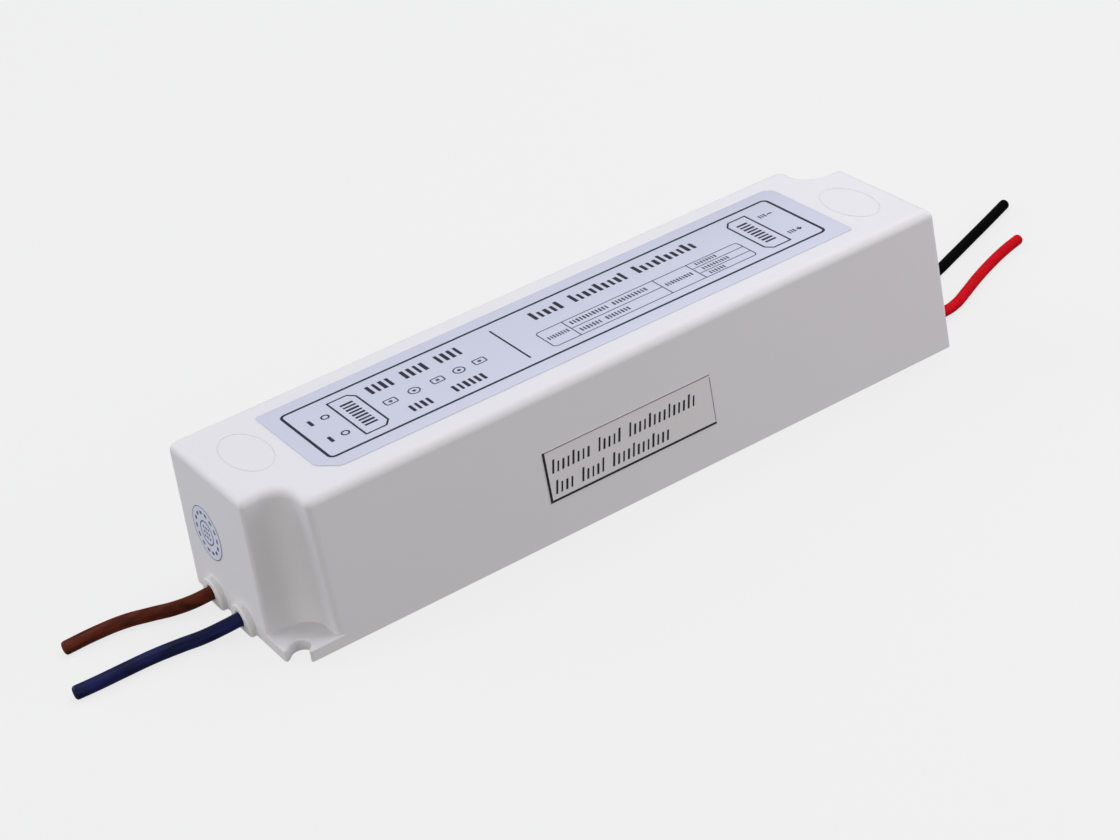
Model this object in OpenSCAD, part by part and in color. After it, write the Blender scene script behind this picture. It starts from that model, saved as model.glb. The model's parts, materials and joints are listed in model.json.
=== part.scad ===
// LED driver: a drafted, moulded plastic case with two slotted screw ears on one diagonal,
// closed by a base cover and filled with potting compound round a mains converter board.
// Millimetres. X runs along the case from the mains end (-X) to the output end (+X), +Z is up,
// and the origin is the centre of the foot.

/* [Case] */
// Length of the case
case_l = 162; // [152:1:190]
// Width of the case
case_w = 42.5; // [40:0.5:56]
// Height of the case
case_h = 33; // [31:0.5:44]
// Thickness of the moulded walls
wall = 2; // [1.6:0.1:2.4]
// How far each wall leans in from the foot to the top
wall_draft = 1; // [0.4:0.1:1.4]
// Radius of the top edges
top_round = 2; // [0.8:0.1:2.4]
// Radius of the upright edges
edge_round = 1; // [0.6:0.1:1.6]

/* [Corner recesses and ears] */
// Depth of a recess along the case
recess_l = 10; // [8:0.5:11]
// Depth of a recess across the case
recess_w = 10.5; // [8.5:0.5:11.5]
// Radius of the inner corner of a recess
recess_round = 5.4; // [3:0.2:6]
// Radius of the edge from a recess to the long side
recess_edge = 1.6; // [0.8:0.2:2]
// Radius of the edge from a recess to the end face
recess_end_edge = 0.6; // [0.3:0.1:1.2]
// Thickness of an ear
ear_t = 2.5; // [2:0.1:4]
// Width of the screw slot in an ear
slot_w = 4.4; // [3.4:0.1:5]
// Distance of the slot's round end from both outer faces
slot_in = 3.2; // [2.6:0.1:4]

/* [Base cover] */
// Thickness of the cover
cover_t = 1.6; // [1.2:0.1:2]
// Width of the ledge that the cover sits on
ledge_w = 1; // [0.6:0.1:1.2]
// Clearance round the cover
cover_gap = 0.15; // [0.1:0.05:0.3]
// Height of the board's underside above the cover
board_lift = 2.6; // [2.4:0.1:4]
// Diameter of the posts under the board
post_d = 4; // [3:0.5:5]
// Distance of the posts from the board's long edges
post_in = 3; // [2.5:0.5:4]

/* [Board] */
// Thickness of the board
board_t = 1.6; // [1:0.1:2]
// Distance of the board's edge from the case wall
board_gap = 0.6; // [0.4:0.1:1]
// Distance of the parts from the board's edge
part_margin = 1; // [0.6:0.1:1.4]
// Diameter of the component pins
pin_d = 0.7; // [0.5:0.05:0.9]
// Clearance of a pin in its hole, on the diameter
pin_gap = 0.3; // [0.2:0.05:0.5]
// Length of the pins below the board
pin_tail = 1.2; // [0.8:0.1:1.6]
// Distance between the ribs that hold the board down
rib_pitch = 46; // [40:1:52]
// Length of a rib along the wall
rib_l = 2.4; // [1.6:0.2:4]
// Depth of a rib out from the foot of the wall
rib_d = 1.6; // [1.2:0.1:2]

/* [Leads and grommets] */
// Diameter of a mains lead over its insulation
mains_lead_d = 2.9; // [2.4:0.1:3.1]
// Diameter of an output lead over its insulation
output_lead_d = 2.4; // [2:0.1:2.8]
// Height of the leads' axis where they leave the case
lead_z = 2.4; // [2.2:0.1:3]
// Distance between the two leads at one end
lead_pitch = 12.5; // [10:0.5:14]
// Distance of the pair's middle from the centre line
lead_offset = 5; // [4:0.5:6]
// Radial clearance of a lead in its grommet
lead_gap = 0.1; // [0.05:0.05:0.2]
// How far a lead's insulation reaches past its grommet
lead_past = 0.5; // [0.2:0.1:1.5]
// Diameter of a lead's bare core
core_d = 1.2; // [0.8:0.1:1.4]
// Distance of the solder pads from the end face
pad_in = 9; // [8.5:0.5:10]
// Height of a soldered core above the board
core_out = 0.8; // [0.4:0.1:1.2]
// Radius of a grommet's flange
flange_r = 4.1; // [3.6:0.1:4.5]
// Height of a grommet's flange over the foot
flange_h = 5.5; // [5.2:0.1:6.5]
// Thickness of a grommet's outer flange
flange_t = 1.2; // [0.8:0.1:2]
// Thickness of a grommet's inner flange
inner_flange_t = 1.2; // [0.8:0.1:2]
// Radius of a grommet's neck in the wall
neck_r = 2.4; // [2.2:0.1:2.7]
// Clearance of a grommet's neck in the wall
neck_gap = 0.1; // [0.05:0.05:0.2]

/* [Label and stickers] */
// Length of the top label
label_l = 126.8; // [110:0.2:132]
// Width of the top label
label_w = 28.8; // [24:0.2:32]
// Thickness of the top label
label_t = 0.15; // [0.1:0.05:0.3]
// Cut corner of the label beside the front recess
label_cut_front = 3.8; // [2:0.2:6]
// Cut corner of the label beside the back recess
label_cut_back = 1.6; // [1:0.2:6]
// Length of the sticker on the long side
side_sticker_l = 40.6; // [30:0.2:50]
// Height of the sticker on the long side
side_sticker_h = 11.5; // [8:0.5:16]
// Height of that sticker's middle above the foot
side_sticker_z = 14.4; // [12:0.2:18]
// Distance of that sticker's middle from the centre
side_sticker_x = -0.6; // [-20:0.2:20]
// Diameter of the round sticker on the mains end
end_sticker_d = 11.8; // [8:0.2:14]
// Distance of the round sticker from the centre line
end_sticker_y = 9; // [6:0.5:11]
// Height of the round sticker's middle above the foot
end_sticker_z = 17; // [14:0.5:20]
// Thickness of both stickers
sticker_t = 0.1; // [0.05:0.05:0.2]
// Thickness of the glue under the label and the stickers
glue_t = 0.02; // [0.01:0.01:0.05]

/* [Mains side parts] */
// Diameter of the fuse
fuse_d = 8; // [7:0.5:9]
// Height of the fuse
fuse_h = 8; // [6:0.5:10]
// Diameter of the varistor
varistor_d = 10; // [7:0.5:11]
// Thickness of the varistor
varistor_t = 4.5; // [3:0.5:6]
// Diameter of the inrush thermistor
inrush_d = 9; // [7:0.5:10]
// Thickness of the inrush thermistor
inrush_t = 5; // [3:0.5:6]
// Distance between the pins of the small upright parts
disc_pitch = 5; // [4:0.5:5.5]
// Length of the film capacitor
film_l = 15; // [12:0.5:16]
// Width of the film capacitor
film_w = 8; // [6:0.5:9]
// Height of the film capacitor
film_h = 14; // [10:0.5:16]
// Distance of the film capacitor's pins from its ends
film_pin_in = 1.5; // [1:0.1:2.5]
// Outer diameter of the choke's ring core
ring_d = 14; // [12:0.5:15]
// Bore of the choke's ring core
ring_bore = 8; // [7:0.5:9]
// Height of the choke's ring core
ring_h = 7; // [5:0.5:9]
// Thickness of the choke's windings
turns_t = 1; // [0.6:0.1:1.2]
// Angle that each winding covers
turns_angle = 130; // [90:5:150]
// Angle between a choke pin and the board's length
choke_pin_angle = 40; // [30:1:42]
// Length of the bridge rectifier
bridge_l = 15; // [13:0.5:16]
// Thickness of the bridge rectifier
bridge_t = 4; // [3:0.5:5]
// Height of the bridge rectifier
bridge_h = 11; // [9:0.5:13]
// Distance between the bridge rectifier's pins
bridge_pitch = 3.8; // [3:0.1:4]
// Cut corner of the bridge rectifier
bridge_corner = 2; // [1:0.2:3]
// Diameter of the bulk capacitor
bulk_d = 16; // [13:0.5:18]
// Height of the bulk capacitor
bulk_h = 20; // [16:0.5:21]
// Distance between the bulk capacitor's pins
bulk_pitch = 7.5; // [5:0.5:10]

/* [Power parts and heat sinks] */
// Length of a heat sink plate
sink_l = 16; // [13:0.5:18]
// Thickness of a heat sink plate
sink_t = 1.5; // [1:0.1:2]
// Height of a heat sink plate
sink_h = 20; // [19:0.5:21]
// Distance of a plate's pins from its ends
sink_pin_in = 1.5; // [1:0.1:2]
// Width of a power part
power_w = 10; // [9.6:0.1:10.6]
// Thickness of a power part over its tab
power_t = 4.5; // [4:0.1:5]
// Height of a power part's moulded body
power_body_h = 9; // [8:0.5:9.5]
// Length of a power part's metal tab above its body
power_tab_h = 6.2; // [5.6:0.1:6.6]
// Thickness of a power part's metal tab
power_tab_t = 1.3; // [1:0.1:1.5]
// Height of a power part's body above the board
power_lift = 3; // [2:0.5:4]
// Distance between a power part's pins
power_pitch = 2.54; // [2.4:0.02:2.8]
// Diameter of a heat sink screw
screw_d = 3; // [2.5:0.1:3.2]
// Clearance of a screw in its hole, on the diameter
screw_gap = 0.4; // [0.2:0.1:0.6]
// Diameter of a screw's head
screw_head_d = 5.2; // [4.6:0.1:5.4]
// Height of a screw's head
screw_head_h = 2; // [1.4:0.1:2.4]
// How far a screw stands out behind the plate
screw_out = 1; // [0.6:0.1:1.5]

/* [Control parts] */
// Length of the control chip
chip_l = 5; // [4:0.2:6]
// Width of the control chip's body
chip_w = 3.9; // [3.4:0.1:4.4]
// Height of the control chip
chip_h = 1.6; // [1.2:0.1:2]
// Reach of the chip's feet on each side
chip_foot = 1; // [0.6:0.1:1.2]
// Distance between the chip's feet
chip_pitch = 1.27; // [1:0.01:1.3]
// Width of a chip foot
chip_foot_w = 0.4; // [0.3:0.05:0.5]
// Thickness of a chip foot
chip_foot_t = 0.2; // [0.15:0.05:0.3]
// Diameter of a resistor's end caps
resistor_d = 2.4; // [2.1:0.1:3]
// Diameter of a resistor's waist
resistor_waist = 2; // [1.4:0.1:2]
// Length of a resistor's end caps
resistor_cap_l = 1.6; // [1:0.1:2]
// Length of a resistor's body
resistor_l = 6.4; // [5:0.2:8]
// Distance between the pins of a resistor
resistor_pitch = 10; // [9.5:0.5:11]
// Length of the coupler
coupler_l = 4.6; // [4:0.1:5]
// Width of the coupler
coupler_w = 6.4; // [6:0.1:7]
// Height of the coupler
coupler_h = 3.5; // [3:0.1:4]
// Distance between the coupler's pins on one side
coupler_pitch = 2.54; // [2.4:0.02:2.8]
// Diameter of the safety capacitor
safety_d = 8; // [6:0.5:9]
// Thickness of the safety capacitor
safety_t = 4; // [3:0.5:5]

/* [Transformer] */
// Length of the core over both halves
core_l = 24; // [22:0.5:26]
// Width of the core
core_w = 22; // [20:0.5:25]
// Thickness of the core
core_t = 7; // [5:0.5:8]
// Thickness of the core's back
core_back = 4; // [3:0.2:4.4]
// Width of the core's middle leg
core_leg = 6; // [5:0.2:7]
// Width of each outer leg
core_side = 3.2; // [2.8:0.1:3.6]
// Gap between the core's halves
core_gap = 0.1; // [0.05:0.05:0.4]
// Clearance between bobbin and core
bobbin_gap = 0.2; // [0.1:0.05:0.3]
// Wall of the bobbin
bobbin_t = 0.9; // [0.7:0.1:1.2]
// Height of the bobbin's end flanges
bobbin_h = 17; // [15:0.5:18]
// Height of the pin rails under the bobbin
rail_h = 1.5; // [1:0.1:2]
// How far a winding stays inside its flanges
winding_in = 0.4; // [0.2:0.1:0.8]
// Distance between the bobbin's pins
bobbin_pitch = 5; // [4:0.5:5.5]

/* [Output side parts] */
// Diameter of an output capacitor
output_cap_d = 10; // [8:0.5:11]
// Height of an output capacitor
output_cap_h = 18; // [14:0.5:21]
// Distance between an output capacitor's pins
output_cap_pitch = 5; // [3.5:0.5:6]
// Diameter of the output choke
output_choke_d = 10; // [8:0.5:11]
// Height of the output choke
output_choke_h = 12; // [10:0.5:16]
// Diameter of the output choke's stem
output_stem_d = 4; // [3:0.2:5]
// Thickness of the output choke's flanges
output_flange_t = 1.5; // [1:0.1:2]
// Distance between the output choke's pins
output_choke_pitch = 5; // [4:0.5:6]
// Depth of the crimped groove round a can
groove_depth = 0.6; // [0.3:0.1:0.8]
// Height of the groove above the can's foot
groove_z = 2.4; // [2:0.2:3]

/* [Potting] */
// Clearance round the parts in the potting compound
pocket_gap = 0.2; // [0.1:0.05:0.4]
// Clearance of the potting compound from the case
potting_gap = 0.05; // [0.02:0.01:0.1]

/* [Hidden] */
$fn = 48;
cut = 1;
edge_steps = 6;
fillet_steps = 14;
round_steps = 6;
lead_sides = 8;

// Heights that the pieces share.
board_z = cover_t + board_lift;
board_top = board_z + board_t;
cavity_top = case_h - wall;
lean = atan(wall_draft / case_h);

// Where the leads leave: the turn that brings the mains end round to the lead's end, its offset and
// the lead's diameter.
lead_near = lead_offset - lead_pitch / 2;
lead_far = lead_offset + lead_pitch / 2;
brown_exit = [0, lead_far, mains_lead_d];
blue_exit = [0, lead_near, mains_lead_d];
black_exit = [180, lead_near, output_lead_d];
red_exit = [180, lead_far, output_lead_d];
exits = [brown_exit, blue_exit, black_exit, red_exit];

// Routes of the free leads on the surface that the case stands on, from the grommet outwards.
brown_route = [
    [-86, 11.6, 2.1], [-90, 13.1, 1.6], [-94, 14.9, 1.45], [-99, 16.6, 1.45], [-105, 17.2, 1.45],
    [-112.2, 17, 1.45]
];
blue_route = [
    [-86, -1, 2.1], [-90, -0.2, 1.6], [-94, 0.7, 1.45], [-100, 1.4, 1.45], [-106, 1.5, 1.45],
    [-112, 1.5, 1.45], [-116.8, 1.7, 1.45]
];
black_route = [
    [87, 1.5, 2], [93, 2.6, 1.4], [99, 4.6, 1.2], [106, 7.4, 1.2], [114, 10.7, 1.2], [122, 14, 1.2],
    [131, 17.8, 1.2]
];
red_route = [
    [87, -11.4, 1.9], [92, -9.9, 1.3], [97, -7.5, 1.2], [102.5, -4.7, 1.2], [108.5, -2, 1.2],
    [115, 0.5, 1.2], [121.5, 2.4, 1.2]
];

// Plan outline of the case, moved in by side_in on the walls and by recess_in in the recesses.
function arc(centre, r, from, to, steps) = [
    for (k = [0:steps])
        let (a = from + (to - from) * k / steps)
        centre + r * [cos(a), sin(a)]
];
function half_outline(side_in, recess_in) =
    let (
        x = case_l / 2 - side_in,
        y = case_w / 2 - side_in,
        recess_x = recess_l + recess_in - case_l / 2,
        recess_y = recess_w + recess_in - case_w / 2,
        r = recess_round + recess_in
    )
    concat(
        arc([recess_end_edge - x, recess_y + recess_end_edge], recess_end_edge, 180, 270, edge_steps),
        arc([recess_x - r, recess_y - r], r, 90, 0, fillet_steps),
        arc([recess_x + recess_edge, recess_edge - y], recess_edge, 180, 270, edge_steps),
        arc([x - edge_round, edge_round - y], edge_round, 270, 360, edge_steps)
    );
function outline(side_in, recess_in) =
    let (half = half_outline(side_in, recess_in))
    concat(half, [for (p = half) -p]);

// Solid through a stack of outlines, each level being [height, side_in, recess_in].
module loft(levels) {
    rings = [for (level = levels) outline(level[1], level[2])];
    n = len(rings[0]);
    top = len(levels) - 1;
    polyhedron(
        [for (k = [0:top]) for (p = rings[k]) [p.x, p.y, levels[k][0]]],
        concat(
            [[for (i = [0:n - 1]) i]],
            [[for (i = [n - 1:-1:0]) top * n + i]],
            [for (k = [0:top - 1]) for (i = [0:n - 1])
                let (j = (i + 1) % n)
                [k * n + j, k * n + i, (k + 1) * n + i, (k + 1) * n + j]]
        )
    );
}
function draft_at(z) = wall_draft * z / case_h;
function rounded_level(a) =
    let (z = case_h - top_round * (1 - sin(a)), turn_in = top_round * (1 - cos(a)))
    [z, draft_at(z) + turn_in, turn_in];
body_foot = ear_t / 2;
outer_levels = concat(
    [[body_foot, draft_at(body_foot), 0]],
    [for (k = [0:round_steps]) rounded_level(90 * k / round_steps)]
);
function inner_level(z, gap) = [z, wall + gap + draft_at(z), wall + gap];
// Depths behind the end face: a grommet's inner flange, clear of the leaning wall, its back, and
// the end of the lead's insulation.
grommet_in = wall + draft_at(flange_h);
grommet_back = grommet_in + inner_flange_t;
lead_inner = grommet_back + lead_past;

// Centres of parts laid out in a row with equal gaps, and with a gap at each end if ends is 1.
function total(sizes, count) = count == 0 ? 0 : sizes[count - 1] + total(sizes, count - 1);
function spread(sizes, span, ends) =
    let (gap = (span - total(sizes, len(sizes))) / (len(sizes) - 1 + 2 * ends))
    [for (i = [0:len(sizes) - 1]) total(sizes, i) + sizes[i] / 2 + gap * (i + ends) - span / 2];

// Columns of parts along the board, and the rows across it in each column.
stack_w = power_t + sink_t + screw_out;
choke_d = ring_d + 2 * turns_t;
chip_span = chip_w + 2 * chip_foot;
run_l = case_l - 2 * (recess_l + wall + board_gap + part_margin);
run_w = case_w - 2 * (wall + board_gap + part_margin);
columns = spread([
    max(fuse_d, varistor_t, inrush_t),
    max(choke_d, film_l),
    max(bulk_d, bridge_l),
    sink_l,
    core_l,
    max(coupler_l, safety_t),
    max(sink_l, output_cap_d),
    output_choke_d
], run_l, 0);
inlet_rows = spread([varistor_d, inrush_d, fuse_d], run_w, 1);
filter_rows = spread([film_w, choke_d], run_w, 1);
bulk_rows = spread([bridge_t, bulk_d], run_w, 1);
switch_rows = spread([resistor_d, resistor_d, resistor_d, chip_span, stack_w], run_w, 1);
barrier_rows = spread([coupler_w, safety_d], run_w, 1);
output_rows = spread([stack_w, output_cap_d, output_cap_d], run_w, 1);

varistor_at = [columns[0], inlet_rows[0]];
inrush_at = [columns[0], inlet_rows[1]];
fuse_at = [columns[0], inlet_rows[2]];
film_at = [columns[1], filter_rows[0]];
choke_at = [columns[1], filter_rows[1]];
bridge_at = [columns[2], bulk_rows[0]];
bulk_at = [columns[2], bulk_rows[1]];
resistors_at = [for (k = [0:2]) [columns[3], switch_rows[k]]];
chip_at = [columns[3], switch_rows[3]];
transistor_at = [columns[3], switch_rows[4]];
transformer_at = [columns[4], 0];
coupler_at = [columns[5], barrier_rows[0]];
safety_at = [columns[5], barrier_rows[1]];
rectifier_at = [columns[6], output_rows[0]];
output_caps_at = [[columns[6], output_rows[1]], [columns[6], output_rows[2]]];
output_choke_at = [columns[7], 0];

// Pins of every part that goes through the board.
function pair_y(at, pitch) = [for (s = [-1, 1]) at + [0, s * pitch / 2]];
function pair_x(at, pitch) = [for (s = [-1, 1]) at + [s * pitch / 2, 0]];
function row_x(at, pitch, count) = [for (k = [0:count - 1]) at + [(k - (count - 1) / 2) * pitch, 0]];
fuse_pins = pair_y(fuse_at, disc_pitch);
varistor_pins = pair_y(varistor_at, disc_pitch);
inrush_pins = pair_y(inrush_at, disc_pitch);
film_pins = pair_x(film_at, film_l - 2 * film_pin_in);
turns_r = (ring_d + ring_bore) / 4;
choke_pins = [
    for (sx = [-1, 1]) for (sy = [-1, 1])
        choke_at + turns_r * [sx * cos(choke_pin_angle), sy * sin(choke_pin_angle)]
];
bridge_pins = row_x(bridge_at, bridge_pitch, 4);
bulk_pins = pair_x(bulk_at, bulk_pitch);
transistor_face = transistor_at + [0, power_t - stack_w / 2];
rectifier_face = rectifier_at - [0, power_t - stack_w / 2];
transistor_pins = row_x(transistor_face - [0, power_t / 2], power_pitch, 3);
rectifier_pins = row_x(rectifier_face + [0, power_t / 2], power_pitch, 3);
sink_pitch = sink_l - 2 * sink_pin_in;
input_sink_pins = pair_x(transistor_face + [0, sink_t / 2], sink_pitch);
output_sink_pins = pair_x(rectifier_face - [0, sink_t / 2], sink_pitch);
resistor_pins = [for (at = resistors_at) for (p = pair_x(at, resistor_pitch)) p];
coupler_pins = [
    for (sx = [-1, 1]) for (sy = [-1, 1])
        coupler_at + [sx * coupler_pitch, sy * (coupler_w - pin_d)] / 2
];
safety_pins = pair_y(safety_at, disc_pitch);
window_w = (core_w - core_leg) / 2 - core_side;
window_l = core_l - 2 * core_back;
bobbin_half_w = core_leg / 2 + window_w - bobbin_gap;
bobbin_l = window_l - 2 * bobbin_gap;
rail_x = (bobbin_l - bobbin_t) / 2;
transformer_pins = [
    for (sx = [-1, 1]) for (p = [-1, 0, 1])
        transformer_at + [sx * rail_x, p * bobbin_pitch]
];
output_cap_pins = [for (at = output_caps_at) for (p = pair_x(at, output_cap_pitch)) p];
output_choke_pins = pair_x(output_choke_at, output_choke_pitch);
pins = concat(
    fuse_pins, varistor_pins, inrush_pins, film_pins, choke_pins, bridge_pins, bulk_pins,
    transistor_pins, rectifier_pins, input_sink_pins, output_sink_pins, resistor_pins,
    coupler_pins, safety_pins, transformer_pins, output_cap_pins, output_choke_pins
);

module pin_set(points, height) {
    for (p = points)
        translate([p.x, p.y, board_z - pin_tail])
            cylinder(d = pin_d, h = pin_tail + board_t + height);
}

// Arched profile of a grommet, from a flat foot up to its crown, with upright sides.
module arch(r, foot, crown) {
    intersection() {
        translate([0, crown - r]) {
            circle(r);
            translate([-r, -crown])
                square([2 * r, crown]);
        }
        translate([-r, foot])
            square([2 * r, crown - foot]);
    }
}
neck_crown = lead_z + neck_r;
// Places its children at a lead's exit, drawn for the mains end with the profile facing along X.
module at_exit(exit, x, depth) {
    rotate([0, 0, exit[0]])
        translate([x - case_l / 2, exit[1], 0])
            rotate([90, 0, 90])
                linear_extrude(depth)
                    children();
}

// Foot of the case with its two slotted ears, upright up to the ears' top.
module foot() {
    linear_extrude(ear_t)
        difference() {
            square([case_l, case_w], center = true);
            for (turn = [0, 180])
                rotate(turn)
                    translate([slot_in - case_l / 2, slot_in - case_w / 2]) {
                        circle(d = slot_w);
                        rotate(225)
                            translate([0, -slot_w / 2])
                                square([2 * slot_in, slot_w]);
                    }
            for (turn = [0, 180])
                rotate(turn)
                    translate([case_l / 2 - edge_round, edge_round - case_w / 2])
                        difference() {
                            translate([0, -2 * edge_round])
                                square(2 * edge_round);
                            circle(edge_round);
                        }
        }
}
module ribs(gap) {
    rib_in = case_w / 2 - wall - rib_d - gap;
    for (sy = [-1, 1])
        for (k = [-1, 0, 1])
            translate([k * rib_pitch, sy * (rib_in + wall + rib_d), board_top + case_h / 2 - gap])
                cube([rib_l + 2 * gap, 2 * (wall + rib_d), case_h], center = true);
}

module case_shell() {
    color("white")
        difference() {
            union() {
                loft(outer_levels);
                foot();
            }
            difference() {
                loft([inner_level(-cut, 0), inner_level(cavity_top, 0)]);
                ribs(0);
            }
            translate([0, 0, -cut])
                linear_extrude(cover_t + cut)
                    polygon(outline(wall - ledge_w, wall - ledge_w));
            for (exit = exits)
                at_exit(exit, -cut, wall + 2 * cut)
                    arch(neck_r + neck_gap, -cut, neck_crown + neck_gap);
        }
}

module base_cover() {
    edge_in = wall - ledge_w + cover_gap;
    post_y = case_w / 2 - wall - board_gap - post_in;
    color("gainsboro") {
        difference() {
            linear_extrude(cover_t)
                polygon(outline(edge_in, edge_in));
            for (exit = exits)
                at_exit(exit, -cut, cut + lead_inner + cover_gap)
                    arch(neck_r + neck_gap, -cut, neck_crown + neck_gap);
        }
        for (sy = [-1, 1])
            for (k = [-1, 0, 1])
                translate([k * rib_pitch, sy * post_y, 0])
                    cylinder(d = post_d, h = board_z);
    }
}

module circuit_board() {
    edge_in = wall + board_gap;
    color("forestgreen")
        translate([0, 0, board_z])
            linear_extrude(board_t)
                difference() {
                    polygon(outline(edge_in + draft_at(board_top), edge_in));
                    for (p = pins)
                        translate(p)
                            circle(d = pin_d + pin_gap);
                    for (exit = exits)
                        rotate(exit[0])
                            translate([-case_l / 2, exit[1]]) {
                                translate([0, -flange_r - board_gap])
                                    square([grommet_back, 2 * flange_r] + board_gap * [1, 2]);
                                translate([pad_in, 0])
                                    circle(d = core_d + pin_gap);
                            }
                }
}

// Pockets that the parts leave in the potting compound.
module box_pocket(at, size) {
    translate([at.x, at.y, board_top + size.z / 2])
        cube(size + pocket_gap * [2, 2, 2], center = true);
}
module round_pocket(at, d, h) {
    translate([at.x, at.y, board_top - cut])
        cylinder(d = d + 2 * pocket_gap, h = h + pocket_gap + cut);
}
module pockets() {
    box_pocket(varistor_at, [varistor_t, varistor_d, varistor_d + pin_d]);
    box_pocket(inrush_at, [inrush_t, inrush_d, inrush_d + pin_d]);
    round_pocket(fuse_at, fuse_d, fuse_h);
    box_pocket(film_at, [film_l, film_w, film_h]);
    round_pocket(choke_at, choke_d, ring_h + 2 * turns_t);
    box_pocket(bridge_at, [bridge_l, bridge_t, bridge_h]);
    round_pocket(bulk_at, bulk_d, bulk_h);
    for (at = resistors_at)
        box_pocket(at, [resistor_pitch + resistor_d, resistor_d, resistor_d + pin_d]);
    box_pocket(chip_at, [chip_l, chip_span, chip_h]);
    for (at = [transistor_at, rectifier_at])
        box_pocket(at, [sink_l, stack_w, sink_h]);
    box_pocket(transformer_at, [core_l, core_w, rail_h + bobbin_h]);
    box_pocket(coupler_at, [coupler_l, coupler_w, coupler_h]);
    box_pocket(safety_at, [safety_t, safety_d, safety_d + pin_d]);
    for (at = output_caps_at)
        round_pocket(at, output_cap_d, output_cap_h);
    round_pocket(output_choke_at, output_choke_d, output_choke_h);
    for (exit = exits) {
        at_exit(exit, -cut, cut + grommet_back + pocket_gap)
            arch(flange_r + pocket_gap, 0, flange_h + pocket_gap);
        rotate([0, 0, exit[0]])
            round_pocket([pad_in - case_l / 2, exit[1]], core_d, core_out);
    }
}
module potting_compound() {
    color("dimgray")
        difference() {
            intersection() {
                loft([inner_level(0, potting_gap), inner_level(case_h, potting_gap)]);
                translate([-case_l / 2, -case_w / 2, board_top + potting_gap])
                    cube([case_l, case_w, cavity_top - board_top - 2 * potting_gap]);
            }
            ribs(potting_gap);
            pockets();
        }
}

module top_label() {
    x = label_l / 2;
    y = label_w / 2;
    color("lavender")
        translate([0, 0, case_h + glue_t])
            linear_extrude(label_t)
                polygon([
                    [label_cut_front - x, -y], [x, -y], [x, y - label_cut_back],
                    [x - label_cut_back, y], [-x, y], [-x, label_cut_front - y]
                ]);
}
// Lays its flat children on the leaning long side at this place along it and height.
module on_side(half_w, along, z) {
    translate([along, draft_at(z) - half_w, z])
        rotate([90 - lean, 0, 0])
            translate([0, 0, glue_t])
                linear_extrude(sticker_t)
                    children();
}
module side_sticker() {
    color("whitesmoke")
        on_side(case_w / 2, side_sticker_x, side_sticker_z)
            square([side_sticker_l, side_sticker_h], center = true);
}
module end_sticker() {
    color("lightsteelblue")
        rotate([0, 0, -90])
            on_side(case_l / 2, -end_sticker_y, end_sticker_z)
                circle(d = end_sticker_d);
}

module grommet(exit) {
    color("ivory")
        difference() {
            union() {
                at_exit(exit, -flange_t, flange_t)
                    arch(flange_r, 0, flange_h);
                at_exit(exit, -flange_t, flange_t + grommet_back)
                    arch(neck_r, 0, neck_crown);
                at_exit(exit, grommet_in, inner_flange_t)
                    arch(flange_r, cover_t + cover_gap, flange_h);
            }
            at_exit(exit, -flange_t - cut, flange_t + grommet_back + 2 * cut)
                translate([0, lead_z])
                    circle(d = exit[2] + 2 * lead_gap);
        }
}
module brown_grommet() {
    grommet(brown_exit);
}
module blue_grommet() {
    grommet(blue_exit);
}
module black_grommet() {
    grommet(black_exit);
}
module red_grommet() {
    grommet(red_exit);
}

// Round tube swept along a path that never stands upright.
function unit(v) = v / norm(v);
function heading(path, i) = unit(path[min(i + 1, len(path) - 1)] - path[max(i - 1, 0)]);
module tube(path, d) {
    n = lead_sides;
    last = len(path) - 1;
    points = [
        for (i = [0:last])
            let (
                ahead = heading(path, i),
                across = unit(cross(ahead, [0, 0, 1])),
                up = cross(across, ahead)
            )
            for (k = [0:n - 1])
                path[i] + d / 2 * (cos(360 * k / n) * across + sin(360 * k / n) * up)
    ];
    polyhedron(points, concat(
        [[for (k = [0:n - 1]) k]],
        [[for (k = [n - 1:-1:0]) last * n + k]],
        [for (i = [0:last - 1]) for (k = [0:n - 1])
            let (j = (k + 1) % n)
            [i * n + j, i * n + k, (i + 1) * n + k, (i + 1) * n + j]]
    ));
}
function lead_start(exit) =
    let (side = exit[0] == 0 ? 1 : -1)
    [for (x = [lead_inner, -flange_t]) [side * (x - case_l / 2), side * exit[1], lead_z]];
module brown_lead() {
    color("saddlebrown")
        tube(concat(lead_start(brown_exit), brown_route), brown_exit[2]);
}
module blue_lead() {
    color("midnightblue")
        tube(concat(lead_start(blue_exit), blue_route), blue_exit[2]);
}
module black_lead() {
    color("black")
        tube(concat(lead_start(black_exit), black_route), black_exit[2]);
}
module red_lead() {
    color("red")
        tube(concat(lead_start(red_exit), red_route), red_exit[2]);
}
module lead_cores() {
    color("silver")
        for (exit = exits)
            rotate([0, 0, exit[0]])
                translate([-case_l / 2, exit[1], lead_z]) {
                    translate([lead_inner, 0, 0])
                        rotate([0, 90, 0])
                            cylinder(d = core_d, h = pad_in - lead_inner);
                    translate([pad_in, 0, 0]) {
                        sphere(d = core_d);
                        cylinder(d = core_d, h = board_top + core_out - lead_z);
                    }
                }
}

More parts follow.
